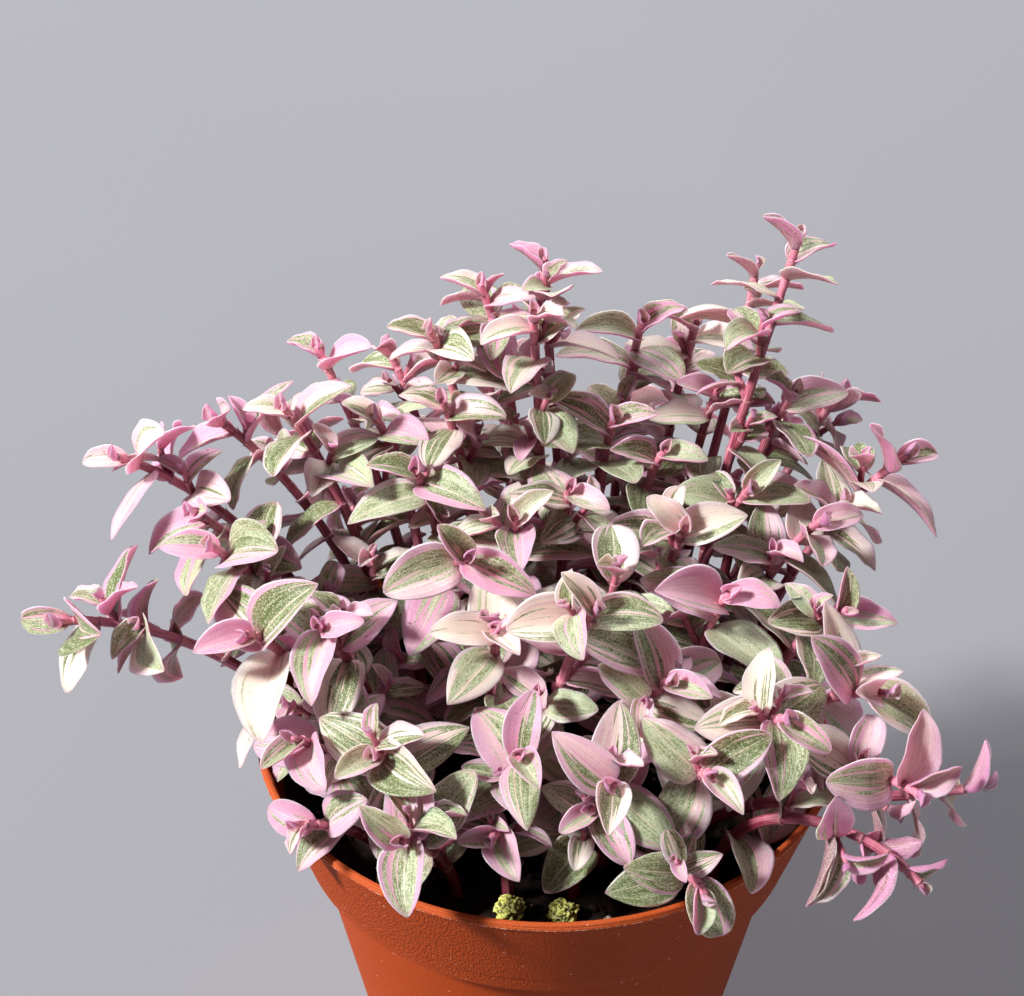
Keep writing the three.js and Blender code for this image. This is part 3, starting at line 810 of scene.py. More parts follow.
# How long the rolled leaf at the tip and the one under it are drawn, and how far leaves bend back.
BUD_LENGTH, YOUNG_LENGTH = 0.42, 0.86
BUD_BEND, LEAF_BEND = 0.35, 0.75
# By age from the youngest: how far a leaf is rolled at its base and its tip, and how young it looks.
BASE_ROLL = (2.4, 1.3, 0.8)
TIP_ROLL = (1.9, 0.8, 0.5)
YOUTH = (1, 0.6, 0.4, 0.2)
# A blade thins towards its tip over a share of its length, and is stouter at its foot.
THIN_TIP, STOUT_FOOT, FOOT_SHARE = 0.16, 0.35, 0.2
BUD_THICKNESS = 0.6
# How far the middle of a leaf lies under its solid's rib, how wide the rolled leaf is beside the rest,
# the least it is rolled, and how full its edges are across.
LEAF_SINK = 0.2
BUD_WIDTH = 2.2
LEAST_CUP = 0.02
EDGE_FULLNESS = 0.6
# The waves along a leaf's edges, and the half width from which they show.
WAVES = 2.2
WAVY_WIDTH = 1.5
LEAF_ALONG = np.array([0.03, 0.08, 0.15, 0.23, 0.32, 0.42, 0.52, 0.62, 0.71, 0.8, 0.88, 0.94, 0.98])
LEAF_ACROSS = np.sin(np.linspace(-math.pi / 2, math.pi / 2, 9))
LEAF_LOOP = 2 * len(LEAF_ACROSS) - 2
LEAF_FACES = closed_faces(len(LEAF_ALONG), LEAF_LOOP)


@dataclass
class LeafForm:
    """How a leaf differs from its plain blade. Angles are in radians and lengths in millimetres.

    Cup is how far it is rolled across, at its base and its tip, keel is the fold at its rib, sway moves
    its middle sideways, and ripple is the height of the waves at its edges. Its outline rises by its
    roundness and falls by its sharpness. Green, pink and youth are tones for the finish."""

    width: float
    cup_base: float
    cup_tip: float
    keel: float
    twist: float
    sway: float
    ripple: float
    ripple_start: float
    roundness: float
    sharpness: float
    green: float
    pink: float
    youth: float


def draw_form(index, rng, green, pink):
    """Draws a leaf's form and tones. The three youngest are rolled, and old ones may curl back."""
    rolled = index < len(BASE_ROLL)
    cup_base = BASE_ROLL[index] if rolled else rng.choice((1, 1, 1, -0.5)) * rng.uniform(0.15, 0.6)
    cup_tip = TIP_ROLL[index] if rolled else rng.uniform(-0.3, 0.5)
    youth = YOUTH[index] if index < len(YOUTH) else 0
    return LeafForm(
        width=LEAF_HALF_WIDTH * rng.uniform(0.9, 1.12) * (BUD_WIDTH if index == 0 else 1),
        cup_base=cup_base,
        cup_tip=cup_tip if abs(cup_tip) > 0.05 else 0.05,
        keel=0 if index == 0 else rng.uniform(0.03, 0.38),
        twist=rng.gauss(0, 0.14),
        sway=rng.gauss(0, 0.3),
        ripple=rng.uniform(0.05, 0.42),
        ripple_start=rng.random(),
        roundness=rng.uniform(0.42, 0.54),
        sharpness=rng.uniform(0.62, 0.92),
        green=min(max(rng.gauss(green, 0.26), 0.12), 1) * (1 - youth * 0.5),
        pink=min(max(rng.gauss(pink, 0.22) + youth * 0.3, 0), 1),
        youth=youth * rng.uniform(0.7, 1),
    )


def leaf_points(leaf, form, thickness):
    """The points of a leaf, row by row: over its face from edge to edge and back under it.

    Here s runs along the leaf from 0 to 1, and a across it from -1 to 1."""
    s = LEAF_ALONG[:, None]
    a = LEAF_ACROSS[None, :]
    widest = form.roundness / (form.roundness + form.sharpness)
    peak = widest**form.roundness * (1 - widest) ** form.sharpness
    half = leaf.length * form.width * s**form.roundness * (1 - s) ** form.sharpness / peak
    cup = form.cup_base + (form.cup_tip - form.cup_base) * s
    cup = np.where(np.abs(cup) < LEAST_CUP, LEAST_CUP, cup)
    wave = form.ripple * np.sin((WAVES * s + form.ripple_start) * math.tau + a) * a**2
    across = half / cup * np.sin(cup * a) + form.sway * np.sin(math.pi * s)
    lift = half / cup * (1 - np.cos(cup * a)) + form.keel * half * np.abs(a)
    lift = lift + wave * (half > WAVY_WIDTH) - LEAF_SINK
    lean = np.hypot(np.sin(cup * a) + form.keel * np.sign(a), np.cos(cup * a))
    normal_across = -(np.sin(cup * a) + form.keel * np.sign(a)) / lean
    normal_lift = np.cos(cup * a) / lean
    ends = np.minimum(1, ((1 - s) / THIN_TIP) ** 0.5) * (1 + STOUT_FOOT * np.maximum(0, 1 - s / FOOT_SHARE))
    bulk = thickness / 2 * (BUD_THICKNESS if leaf.index == 0 else 1)
    skin = bulk * (1 - a**2) ** EDGE_FULLNESS * ends

    angle = leaf.bend * s
    radius = leaf.length / leaf.bend
    middle = leaf.base + leaf.along * radius * np.sin(angle) - leaf.face * radius * (1 - np.cos(angle))
    face = leaf.face * np.cos(angle) + leaf.along * np.sin(angle)
    turn = form.twist * s
    side = leaf.side * np.cos(turn) + face * np.sin(turn)
    face = face * np.cos(turn) - leaf.side * np.sin(turn)

    def skin_points(way):
        sideways = (across + way * normal_across * skin)[..., None] * side[:, None]
        upwards = (lift + way * normal_lift * skin)[..., None] * face[:, None]
        return middle[:, None] + sideways + upwards

    rows = np.concatenate([skin_points(1), skin_points(-1)[:, -2:0:-1]], axis=1)
    return np.concatenate([rows.reshape(-1, 3), [leaf.rib(0)[0]], [leaf.rib(1)[0]]])


def leaf_marks(form):
    """Each leaf point's place, across it, along it and on which face, and its tone: green, pink, youth."""
    loop_across = np.concatenate([LEAF_ACROSS, LEAF_ACROSS[-2:0:-1]])
    loop_upper = np.concatenate([np.ones(len(LEAF_ACROSS)), np.zeros(len(LEAF_ACROSS) - 2)])
    rows = len(LEAF_ALONG)
    across = np.concatenate([np.tile(loop_across, rows), [0, 0]])
    along = np.concatenate([np.repeat(LEAF_ALONG, LEAF_LOOP), [0, 1]])
    upper = np.concatenate([np.tile(loop_upper, rows), [0.5, 0.5]])
    tone = np.tile([form.green, form.pink, form.youth], (len(across), 1))
    return np.column_stack([across, along, upper]), tone


def add_leaf(growth, leaf, form, thickness):
    """Adds a leaf. The youngest two are drawn shorter than their plain blades, and all bend back less."""
    place, tone = leaf_marks(form)
    length = leaf.length * {0: BUD_LENGTH, 1: YOUNG_LENGTH}.get(leaf.index, 1)
    shown = replace(leaf, length=length, bend=leaf.bend * (BUD_BEND if leaf.index == 0 else LEAF_BEND))
    growth.add(leaf_points(shown, form, thickness), LEAF_FACES, LEAF_SLOT, place, tone)


STEM_SIDES = 12
STEM_STEP = 1.6
STEM_TAPER = 1.3
# How far the last ring and the last but one stand from the tip.
TIP_GAP, LAST_GAP = 0.2, 0.3
# How far a stem swells under a leaf, over what length, and how far at most where leaves are close.
SWELL, SWELL_LENGTH, SWELL_MOST = 0.1, 1.1, 0.16
# The sheath round a stem at each leaf: share of its length, how proud it stands, and how much it shows.
SHEATH = (
    (-1.0, 0.0, 0.0),
    (-0.95, 0.06, 0.25),
    (-0.84, 0.07, 0.05),
    (-0.3, 0.09, 0.1),
    (-0.08, 0.15, 0.35),
    (0.0, 0.24, 1.0),
    (0.03, 0.12, 0.7),
    (0.05, -0.03, 0.0),
)
# A sheath's length, the room between leaves that it needs, and the share of that which it takes up.
SHEATH_LENGTH = 3.2
SHEATH_ROOM = 2.4
SHEATH_SHARE = 0.6
# How far plain rings keep below and above a leaf, as shares of its sheath's length.
RINGS_BELOW, RINGS_ABOVE = 1.05, 0.12
# A stem's finish reads its length in centimetres, and starts elsewhere on each stem.
CENTIMETRE, STREAK_SHIFT = 10, 50


def stem_rings(length, joints, thick, thin):
    """(distance from the root, radius, how much sheath shows) of each ring, in order.

    A joint is where a leaf stands and the length of its sheath. The plain rings keep clear of sheaths."""

    def radius(distance):
        away = [(distance - d + reach) / SWELL_LENGTH for d, reach in joints]
        swell = sum(SWELL * math.exp(-(gap**2)) for gap in away)
        return (thick + (thin - thick) * (distance / length) ** STEM_TAPER) * (1 + min(swell, SWELL_MOST))

    rings = []
    for distance in np.append(np.arange(0, length - LAST_GAP, STEM_STEP), length - TIP_GAP):
        if all(not d - reach * RINGS_BELOW < distance < d + reach * RINGS_ABOVE for d, reach in joints):
            rings.append((distance, radius(distance), 0.0))
    for d, reach in joints:
        for share, proud, shown in SHEATH:
            if 0 < d + share * reach < length - TIP_GAP:
                rings.append((d + share * reach, radius(d) + proud, shown))
    return sorted(rings)


def carried(line, distances):
    """The middle of a stem at each distance and two ways square to it, carried along without a twist."""
    frames = []
    side = None
    for distance in distances:
        point, tangent = line.at(distance / line.length)
        side = clock_face(tangent)[1] if side is None else unit(side - tangent * side.dot(tangent))
        frames.append((point, side, np.cross(tangent, side)))
    return frames


def tube(line, distances, radii, sides):
    """The rings of points round a stem at these distances from its root."""
    angles = np.arange(sides) * math.tau / sides
    rows = []
    for (point, first, second), radius in zip(carried(line, distances), radii):
        rows.append(point + radius * (np.outer(np.cos(angles), first) + np.outer(np.sin(angles), second)))
    return np.concatenate(rows)


def closed_tube(line, distances, radii, sides):
    """The points and the faces of a tube that is closed at both ends of its line."""
    points = np.concatenate([tube(line, distances, radii, sides), [line.at(0)[0]], [line.at(1)[0]]])
    return points, closed_faces(len(distances), sides)


def add_stem(growth, line, joints, thick, thin, seed, youth):
    """A stem with its sheaths and the swellings under them. Youth is how young it looks at its root
    and at its tip."""
    rings = stem_rings(line.length, joints, thick, thin)
    distances, radii, sheaths = (np.array(column) for column in zip(*rings))
    count = len(rings)
    points, faces = closed_tube(line, distances, radii, STEM_SIDES)
    angles = np.arange(STEM_SIDES) * math.tau / STEM_SIDES
    around = np.concatenate([np.tile(np.cos(angles), count), [0, 0]])
    over = np.concatenate([np.tile(np.sin(angles), count), [0, 0]])
    far = np.concatenate([np.repeat(distances, STEM_SIDES), [0, line.length]])
    shown = np.concatenate([np.repeat(sheaths, STEM_SIDES), [0, 0]])
    young = youth[0] + (youth[1] - youth[0]) * far / line.length
    place = np.column_stack([around, over, far / CENTIMETRE + seed * STREAK_SHIFT])
    tone = np.column_stack([shown, young, np.full_like(far, seed)])
    growth.add(points, faces, STEM_SLOT, place, tone)


HAIRS = 7
HAIR_LENGTH = (0.6, 1.5)
HAIR_RADIUS = 0.05
# How far out a hair stands from the stem, and how far it leans out.
HAIR_GAP = 0.1
HAIR_LEAN = (0.2, 0.9)
# A hair has three sides: the angles of the corners at its foot, and its faces with the tip as corner 3.
HAIR_CORNERS = (0, 2.1, 4.2)
HAIR_FACES = [(0, 1, 3), (1, 2, 3), (2, 0, 3), (0, 2, 1)]


def add_hairs(growth, line, joints, radius, seed):
    """The short pale hairs that stand round the mouth of each sheath."""
    rng = random.Random(seed)
    for distance, _ in joints:
        point, tangent = line.at(distance / line.length)
        twelve, three = clock_face(tangent)
        for _ in range(HAIRS):
            angle = rng.uniform(0, math.tau)
            out = twelve * math.cos(angle) + three * math.sin(angle)
            way = unit(tangent + out * rng.uniform(*HAIR_LEAN))
            side = unit(np.cross(way, out))
            over = np.cross(way, side)
            foot = point + out * (radius + HAIR_GAP)
            ring = [foot + HAIR_RADIUS * (side * math.cos(a) + over * math.sin(a)) for a in HAIR_CORNERS]
            tone = np.tile([1, 0.5, seed], (4, 1))
            place = np.tile([0, 0, distance / CENTIMETRE], (4, 1))
            growth.add([*ring, foot + way * rng.uniform(*HAIR_LENGTH)], HAIR_FACES, STEM_SLOT, place, tone)


def sheath_joints(line, leaves):
    """Where the sheaths go on a stem: one at each leaf that is old enough to have grown away."""
    places = sorted(line.length - leaf.down for leaf in leaves)
    joints = []
    for number, place in enumerate(places):
        room = place - (places[number - 1] if number else 0)
        if room > SHEATH_ROOM:
            joints.append((place, min(SHEATH_LENGTH, room * SHEATH_SHARE)))
    return joints


# ---- Stems and leaves: growing a shoot -------------------------------------

# The room kept round new growth, the coarse tube that feels for it round a stem, the shortest such tube,
# and how far from a stem's root its lowest leaf stands.
ROOM = 0.12
PROBE_ROWS, PROBE_SIDES = 7, 4
PROBE_LEAST = 1
ROOT_ROOM = 2
SMALL_LEAF_THICKNESS = 0.45
# Side shoots: the youngest leaf whose axil holds one, how often one is tried, its shortest and longest
# with what it gains for each millimetre down the stem, where it has to be clear from, and how far it
# leans out.
FIRST_SPRIG_LEAF = 3
SPRIG_TRIES = 4
SPRIG_LENGTHS, SPRIG_GAIN = (4.5, 8), 0.2
SPRIG_START = 2.6
SPRIG_LEAN = (0.3, 1.2)
SPRIG_SPACING = 0.7
SPRIG_LEAVES = 7
SPRIG_BLADE = (0.6, 0.85)
SPRIG_RADIUS = (0.85, 0.5)
SPRIG_YOUTH = (0.35, 0.95)
# Young shoots out of the peat between the grown ones. They lean out, with their tips strewn a little.
YOUNG_EDGE = 48
YOUNG_HEIGHTS = (20, 62)
YOUNG_LEAN = (0.2, 0.6)
YOUNG_SCATTER = 3
YOUNG_START = ROOT_DEPTH + 1.5
YOUNG_SPACING = 0.85
YOUNG_BLADE = (11, 17)
YOUNG_RADIUS = (1.1, 0.6)
YOUNG_YOUTH = (0.1, 0.9)
# The tip of a grown stem beside its root, and how green and how pink a shoot is, as middle and spread.
TIP_RADIUS = 0.6
GREENNESS = (0.58, 0.14)
PINKNESS = (0.45, 0.16)


def clear_leaf(plan, crowd):
    """The first place of a leaf that is clear of the rest, or None. The leaf then takes it."""
    for leaf in leaf_candidates(plan):
        if not crowd.meets(leaf.plain(ROOM), OUTER_FACES):
            crowd.add(leaf.plain(), OUTER_FACES)
            return leaf
    return None


def clear_leaves(line, indices, spacing, hours, blade, rng, crowd):
    """The leaves of a stem that find room, from the youngest down."""
    draws = iter(rng.random, None)
    leaves = []
    for index in indices:
        down = LEAF_SPACING[index] * spacing
        fits = down < line.length - ROOT_ROOM
        plan = plan_leaf(line, draws, hours, index, down, blade) if fits else None
        leaf = clear_leaf(plan, crowd) if plan else None
        if leaf:
            leaves.append(leaf)
    return leaves


def solid_leaves(shoot, number, line):
    """The leaves that the shoot's solid has, in the places that they took there."""
    solid = Solid(f"shoot_{number:02d}")
    draws = plant_draws(number)
    leaves = []
    for index in range(shoot.leaves):
        down = LEAF_SPACING[index] * shoot.stretch
        plan = plan_leaf(line, draws, shoot.hours, index, down, shoot.blade)
        if plan:
            leaves.extend([leaf for leaf in leaf_candidates(plan) if solid.holds(leaf)][:1])
    return leaves


def clear_stem(line, first, radius, crowd):
    """Whether a stem is clear of the rest, past its first stretch. If so it takes its place there."""
    stretch = np.linspace(first, line.length, PROBE_ROWS)
    faces = band_faces(PROBE_ROWS, PROBE_SIDES)

    def probe(room):
        return tube(line, stretch, [radius + room] * PROBE_ROWS, PROBE_SIDES)

    if first > line.length - PROBE_LEAST or crowd.meets(probe(ROOM), faces):
        return False
    crowd.add(probe(0), faces)
    return True


def sprig_line(line, leaf, rng):
    """The middle line of a side shoot out of a leaf's axil."""
    base, tangent = line.at(1 - leaf.down / line.length)
    out = unit(leaf.along - tangent * leaf.along.dot(tangent))
    shortest, longest = SPRIG_LENGTHS
    length = rng.uniform(shortest, longest + SPRIG_GAIN * leaf.down)
    aim = unit(tangent * 0.7 + out * rng.uniform(*SPRIG_LEAN) + UP * 0.4)
    tip = base + unit(aim + UP * 0.25) * length
    return StemLine(base, base + unit(out + tangent) * length * 0.35, tip - aim * length * 0.3, tip)


def grow_sprig(growth, line, leaf, shoot, rng, crowd, tones):
    """A side shoot with its small leaves, if there is room for it."""
    for _ in range(SPRIG_TRIES):
        sprig = sprig_line(line, leaf, rng)
        if clear_stem(sprig, SPRIG_START, SPRIG_RADIUS[1], crowd):
            blade = shoot.blade * rng.uniform(*SPRIG_BLADE)
            hours = (rng.uniform(0, 12),)
            leaves = clear_leaves(sprig, range(SPRIG_LEAVES), SPRIG_SPACING, hours, blade, rng, crowd)
            dress(growth, sprig, leaves, tones, SMALL_LEAF_THICKNESS, SPRIG_RADIUS, SPRIG_YOUTH, rng)
            return


def dress(growth, line, leaves, tones, thickness, radii, youth, rng):
    """Adds a stem and its leaves to the growth."""
    for leaf in leaves:
        add_leaf(growth, leaf, draw_form(leaf.index, rng, *tones), thickness)
    joints, seed = sheath_joints(line, leaves), rng.random()
    add_stem(growth, line, joints, *radii, seed, youth)
    add_hairs(growth, line, joints, sum(radii) / 2, seed)


def draw_tones(rng):
    """How green and how pink the leaves of a shoot tend to be."""
    return rng.gauss(*GREENNESS), rng.gauss(*PINKNESS)


def grow_shoot(shoot, number, crowd, materials, look):
    """A leafy stem: the leaves of its solid, older leaves below them, and side shoots at their bases."""
    rng = random.Random(number)
    line = main_line(shoot)
    growth = Growth()
    tones = draw_tones(rng)
    older = range(shoot.leaves, len(LEAF_SPACING))
    leaves = solid_leaves(shoot, number, line)
    leaves += clear_leaves(line, older, shoot.stretch, shoot.hours, shoot.blade, rng, crowd)
    for leaf in leaves:
        if leaf.index >= FIRST_SPRIG_LEAF and rng.random() < look.branching:
            grow_sprig(growth, line, leaf, shoot, rng, crowd, tones)
    radius = look.stem_radius / MM
    radii = (radius, radius * TIP_RADIUS)
    dress(growth, line, leaves, tones, look.leaf_thickness / MM, radii, (0, 1), rng)
    return growth.piece(f"leafy_stem_{number:02d}", materials, "foliage", [f"shoot_{number:02d}"])


def young_line(rng):
    """The middle line of a young shoot, which leans out from the middle of the pot."""
    x, y = on_peat(rng, YOUNG_EDGE)
    root = np.array([x, y, SOIL_TOP - ROOT_DEPTH])
    height = rng.uniform(*YOUNG_HEIGHTS)
    out = np.array([x, y, 0]) / YOUNG_EDGE
    tip = root + UP * height + out * height * rng.uniform(*YOUNG_LEAN)
    tip[:2] += [rng.gauss(0, YOUNG_SCATTER), rng.gauss(0, YOUNG_SCATTER)]
    return StemLine(root, root + UP * height * 0.4, tip - unit(out + UP) * height * 0.3, tip)


def grow_young(crowd, materials, look):
    """The young shoots, wherever one finds room, all as one piece."""
    rng = random.Random("young shoots")
    growth = Growth()
    for _ in range(look.young):
        line = young_line(rng)
        if clear_stem(line, YOUNG_START, YOUNG_RADIUS[0], crowd):
            tones = draw_tones(rng)
            hours = (rng.uniform(0, 12),)
            blade = rng.uniform(*YOUNG_BLADE)
            leaves = clear_leaves(line, range(len(LEAF_SPACING)), YOUNG_SPACING, hours, blade, rng, crowd)
            dress(growth, line, leaves, tones, SMALL_LEAF_THICKNESS, YOUNG_RADIUS, YOUNG_YOUTH, rng)
    return growth.piece("young_shoots", materials, "foliage")


# ---- Finishes --------------------------------------------------------------


def leaf_finish(look):
    """Parallel stripes of green on pink and cream, darker underneath, magenta where the leaf is young."""
    leaf = Finish("leaf")
    across, along, upper = leaf.attribute(PLACE)
    green_share, pink_share, youth = leaf.attribute(TONE)
    seed = leaf.math("FRACT", green_share * 91.7 + pink_share * 57.3)
    place = leaf.place()

    def drawn(pitch_across, pitch_along, shift, lift, scale, detail):
        """A noise drawn out along the leaf, shifted and lifted so that it differs from leaf to leaf."""
        point = leaf.vector(across * pitch_across + seed * shift, along * pitch_along, seed * lift)
        return leaf.noise(point, scale, detail)

    # green stripes, broad and narrow, that end where a leaf's margin is bare
    broad = drawn(1.5, 0.6, 61, 37, 1.3, 1.0)
    narrow = drawn(4.0, 0.6, 83, 19, 1.3, 1.2)
    lean = leaf.math("SINE", seed * 90) * across * 0.2
    edge = abs(across) ** 4
    margin = leaf.math("FRACT", seed * 5.1) * edge
    streak = broad * 0.35 + narrow * 0.75 + lean + green_share * 0.44 - margin * 0.5 - along * 0.05
    green = streak.step(0.675, 0.71)

    # silver where the green shines, and cream that blushes pink
    mottle = leaf.noise(place, 1900, 2.0, 0.6)
    shine = drawn(5, 2.2, 29, 11, 2.0, 2.0)
    cells = drawn(26, 50, 41, 23, 1.0, 1.0)
    veins = drawn(22, 0.8, 7, 3, 1.0, 1.0)
    silvery = leaf.math("FRACT", seed * 7.3) * 0.24
    green_light = (shine * 0.45 + mottle * 0.45 + cells * 0.35 + veins * 0.35 + silvery).step(0.72, 1.08)
    greens = leaf.mix(green_light, look.green, look.silver)
    blush = (pink_share * 0.8 + broad * 0.35 + edge * 0.3 + mottle * 0.3 + veins * 0.7).step(0.78, 1.5)
    pinks = leaf.mix(blush, look.cream, look.pink)
    colour = leaf.mix(green, pinks, greens)

    # the pale rib, magenta at the foot, the tip and in the bud, plum underneath, and a pale edge
    rib = abs(across).step(0.0, 0.05)
    colour = leaf.mix((1 - rib) * 0.6, colour, look.cream)
    foot = (1 - along.step(0.0, 0.2)) * (0.22 + youth * 0.5)
    tip = along.step(0.88, 1.0) * 0.3
    flush = leaf.math("MAXIMUM", foot, tip)
    bud = youth.step(0.45, 0.9) * (0.05 + broad * 0.45)
    colour = leaf.mix(leaf.math("MAXIMUM", flush, bud), colour, look.magenta)
    under = (1 - upper) * (0.25 + broad * 0.5 + youth * 0.25)
    colour = leaf.mix(under, colour, look.plum)
    rim = abs(across).step(0.96, 1.0) * 0.6
    colour = leaf.mix(rim, colour, look.cream)

    # painted sparkle, pale glints on the cells, and a few dark specks
    sparkle = cells.step(0.56, 0.7) * (0.1 + shine * 0.7) * (0.5 + green * 0.5)
    colour = leaf.mix(sparkle, colour, look.sparkle)
    spots = leaf.noise(place, 820, 1.0).step(0.76, 0.79) * 0.5
    colour = leaf.mix(spots, colour, look.maroon)

    height = veins * 0.5 + mottle * 0.25 + cells * 0.25
    return leaf.surface(
        Base_Color=colour,
        Roughness=0.3 + mottle * 0.3,
        Normal=leaf.bump(height, 0.2, 0.8),
        IOR=1.42,
        Subsurface_Weight=0.85,
        Subsurface_Radius=(1.0, 0.65, 0.7),
        Subsurface_Scale=0.002,
    )


def stem_finish(look):
    """Maroon with lighter streaks along it, pinker towards the tip, with pale sheaths at the leaves."""
    stem = Finish("stem")
    around, over, along = stem.attribute(PLACE)
    sheath, youth, seed = stem.attribute(TONE)
    streaks = stem.noise(stem.vector(around * 4.2, over * 4.2, along * 0.45), 1.8, 3.0, 0.6)
    blotch = stem.noise(stem.vector(around * 0.8, over * 0.8, along * 1.6), 1.0, 2.0)
    light = (youth * 0.85 + (streaks - 0.5) * 2.3 + (blotch - 0.5) * 0.9 + (seed - 0.5) * 0.5).step(0.1, 0.95)
    colour = stem.mix(light, look.maroon, look.rose)
    colour = stem.mix(sheath * (0.3 + streaks * 0.5), colour, look.sheath)
    return stem.surface(
        Base_Color=colour,
        Roughness=0.3 + streaks * 0.25,
        Normal=stem.bump(streaks, 0.15, 0.7),
        IOR=1.42,
        Subsurface_Weight=0.12,
        Subsurface_Radius=(1.0, 0.4, 0.4),
        Subsurface_Scale=0.0012,
    )


def pot_finish(pot):
    """Moulded plastic with a fine grain of upright wrinkles on the collar. Painted highlights: the lip is
    painted paler, and pale specks and the ragged flash under the lip carry painted glints.
    """
    plastic = Finish("pot_plastic")
    place = plastic.place()
    z = plastic.split(place)[2]
    grain = plastic.noise(plastic.stretch(place, 1, 1, 0.6), 2300, 2.0, 0.45)
    wide = plastic.noise(place, 34, 3.0)
    fine = plastic.noise(place, 5200, 2.0)
    lip_foot = COLLAR_TOP[1] * MM
    lip = z.step(lip_foot - 0.1 * MM, lip_foot)
    # the lowest 0.4 mm of the lip, where the flash is
    seam = lip * (1 - z.step(lip_foot + 0.15 * MM, lip_foot + 0.4 * MM))
    collar = z.step(COLLAR_FOOT[1] * MM, COLLAR_STEP[1] * MM) * (1 - lip)
    # pale specks, painted as glints on the grain
    spots = plastic.noise(place, 900, 1.0).step(0.74, 0.78)
    # painted highlight: the lip painted paler, with the specks and a slow random change of tone
    highlight_and_tone = lip * (0.15 + fine * 0.3) + spots * 0.5 + (wide - 0.5) * 0.5
    colour = plastic.mix(highlight_and_tone.step(0, 1), pot.colour, pot.highlight_and_tone)
    # painted glints along the ragged flash under the lip and on the specks
    glints = plastic.noise(place, 1300, 2.0).step(0.48, 0.6) * seam + spots * 0.4
    colour = plastic.mix(glints * 0.8, colour, pot.glint_colour)
    height = grain.step(0.35, 0.65) * (0.25 + collar * 0.75) + fine * 0.12
    return plastic.surface(
        Base_Color=colour,
        Roughness=0.5 + wide * 0.16 + fine * 0.1,
        Normal=plastic.bump(height, 0.16, 0.9),
        IOR=1.49,
        Specular_IOR_Level=0.12,
    )


def peat_finish(peat):
    """Nearly black, with crumbs that have dried brown."""
    soil = Finish("peat")
    place = soil.place()
    coarse = soil.noise(place, 420, 4.0, 0.65)
    fine = soil.noise(place, 2600, 3.0, 0.7)
    colour = soil.mix((coarse * 0.6 + fine * 0.5).step(0.5, 0.78), peat.colour, peat.dry)
    return soil.surface(
        Base_Color=colour,
        Roughness=0.75 + fine * 0.25,
        Normal=soil.bump(fine * 0.5 + coarse * 0.5, 0.5, 0.9),
        Specular_IOR_Level=0.2,
    )


def chip_finish(peat):
    """Pale grit, stained with peat."""
    chip = Finish("pale_chip")
    fine = chip.noise(chip.place(), 2200, 3.0, 0.6)
    colour = chip.mix(fine.step(0.35, 0.62), peat.dry, peat.chip)
    return chip.surface(Base_Color=colour, Roughness=0.6 + fine * 0.3, Normal=chip.bump(fine, 0.3, 0.8))


def moss_finish(peat):
    """Yellow-green, with painted shade that darkens the hollows and pale specks painted as highlights."""
    moss = Finish("moss")
    small, large, _ = moss.attribute(TONE)
    fine = moss.noise(moss.place(), 1700, 3.0, 0.7)
    # painted shade: darker where the tufts sink into hollows
    raised = (small * 1.4 + large * 0.5 + fine * 1.1).step(0.1, 1.0)
    colour = moss.mix(raised, peat.hollow_shade, peat.moss)
    # painted highlights: pale specks
    colour = moss.mix(fine.step(0.56, 0.66) * 0.8, colour, peat.tuft_highlight)
    return moss.surface(Base_Color=colour, Roughness=0.7 + fine * 0.25, Normal=moss.bump(fine, 0.5, 0.9))


# ---- Operators -------------------------------------------------------------


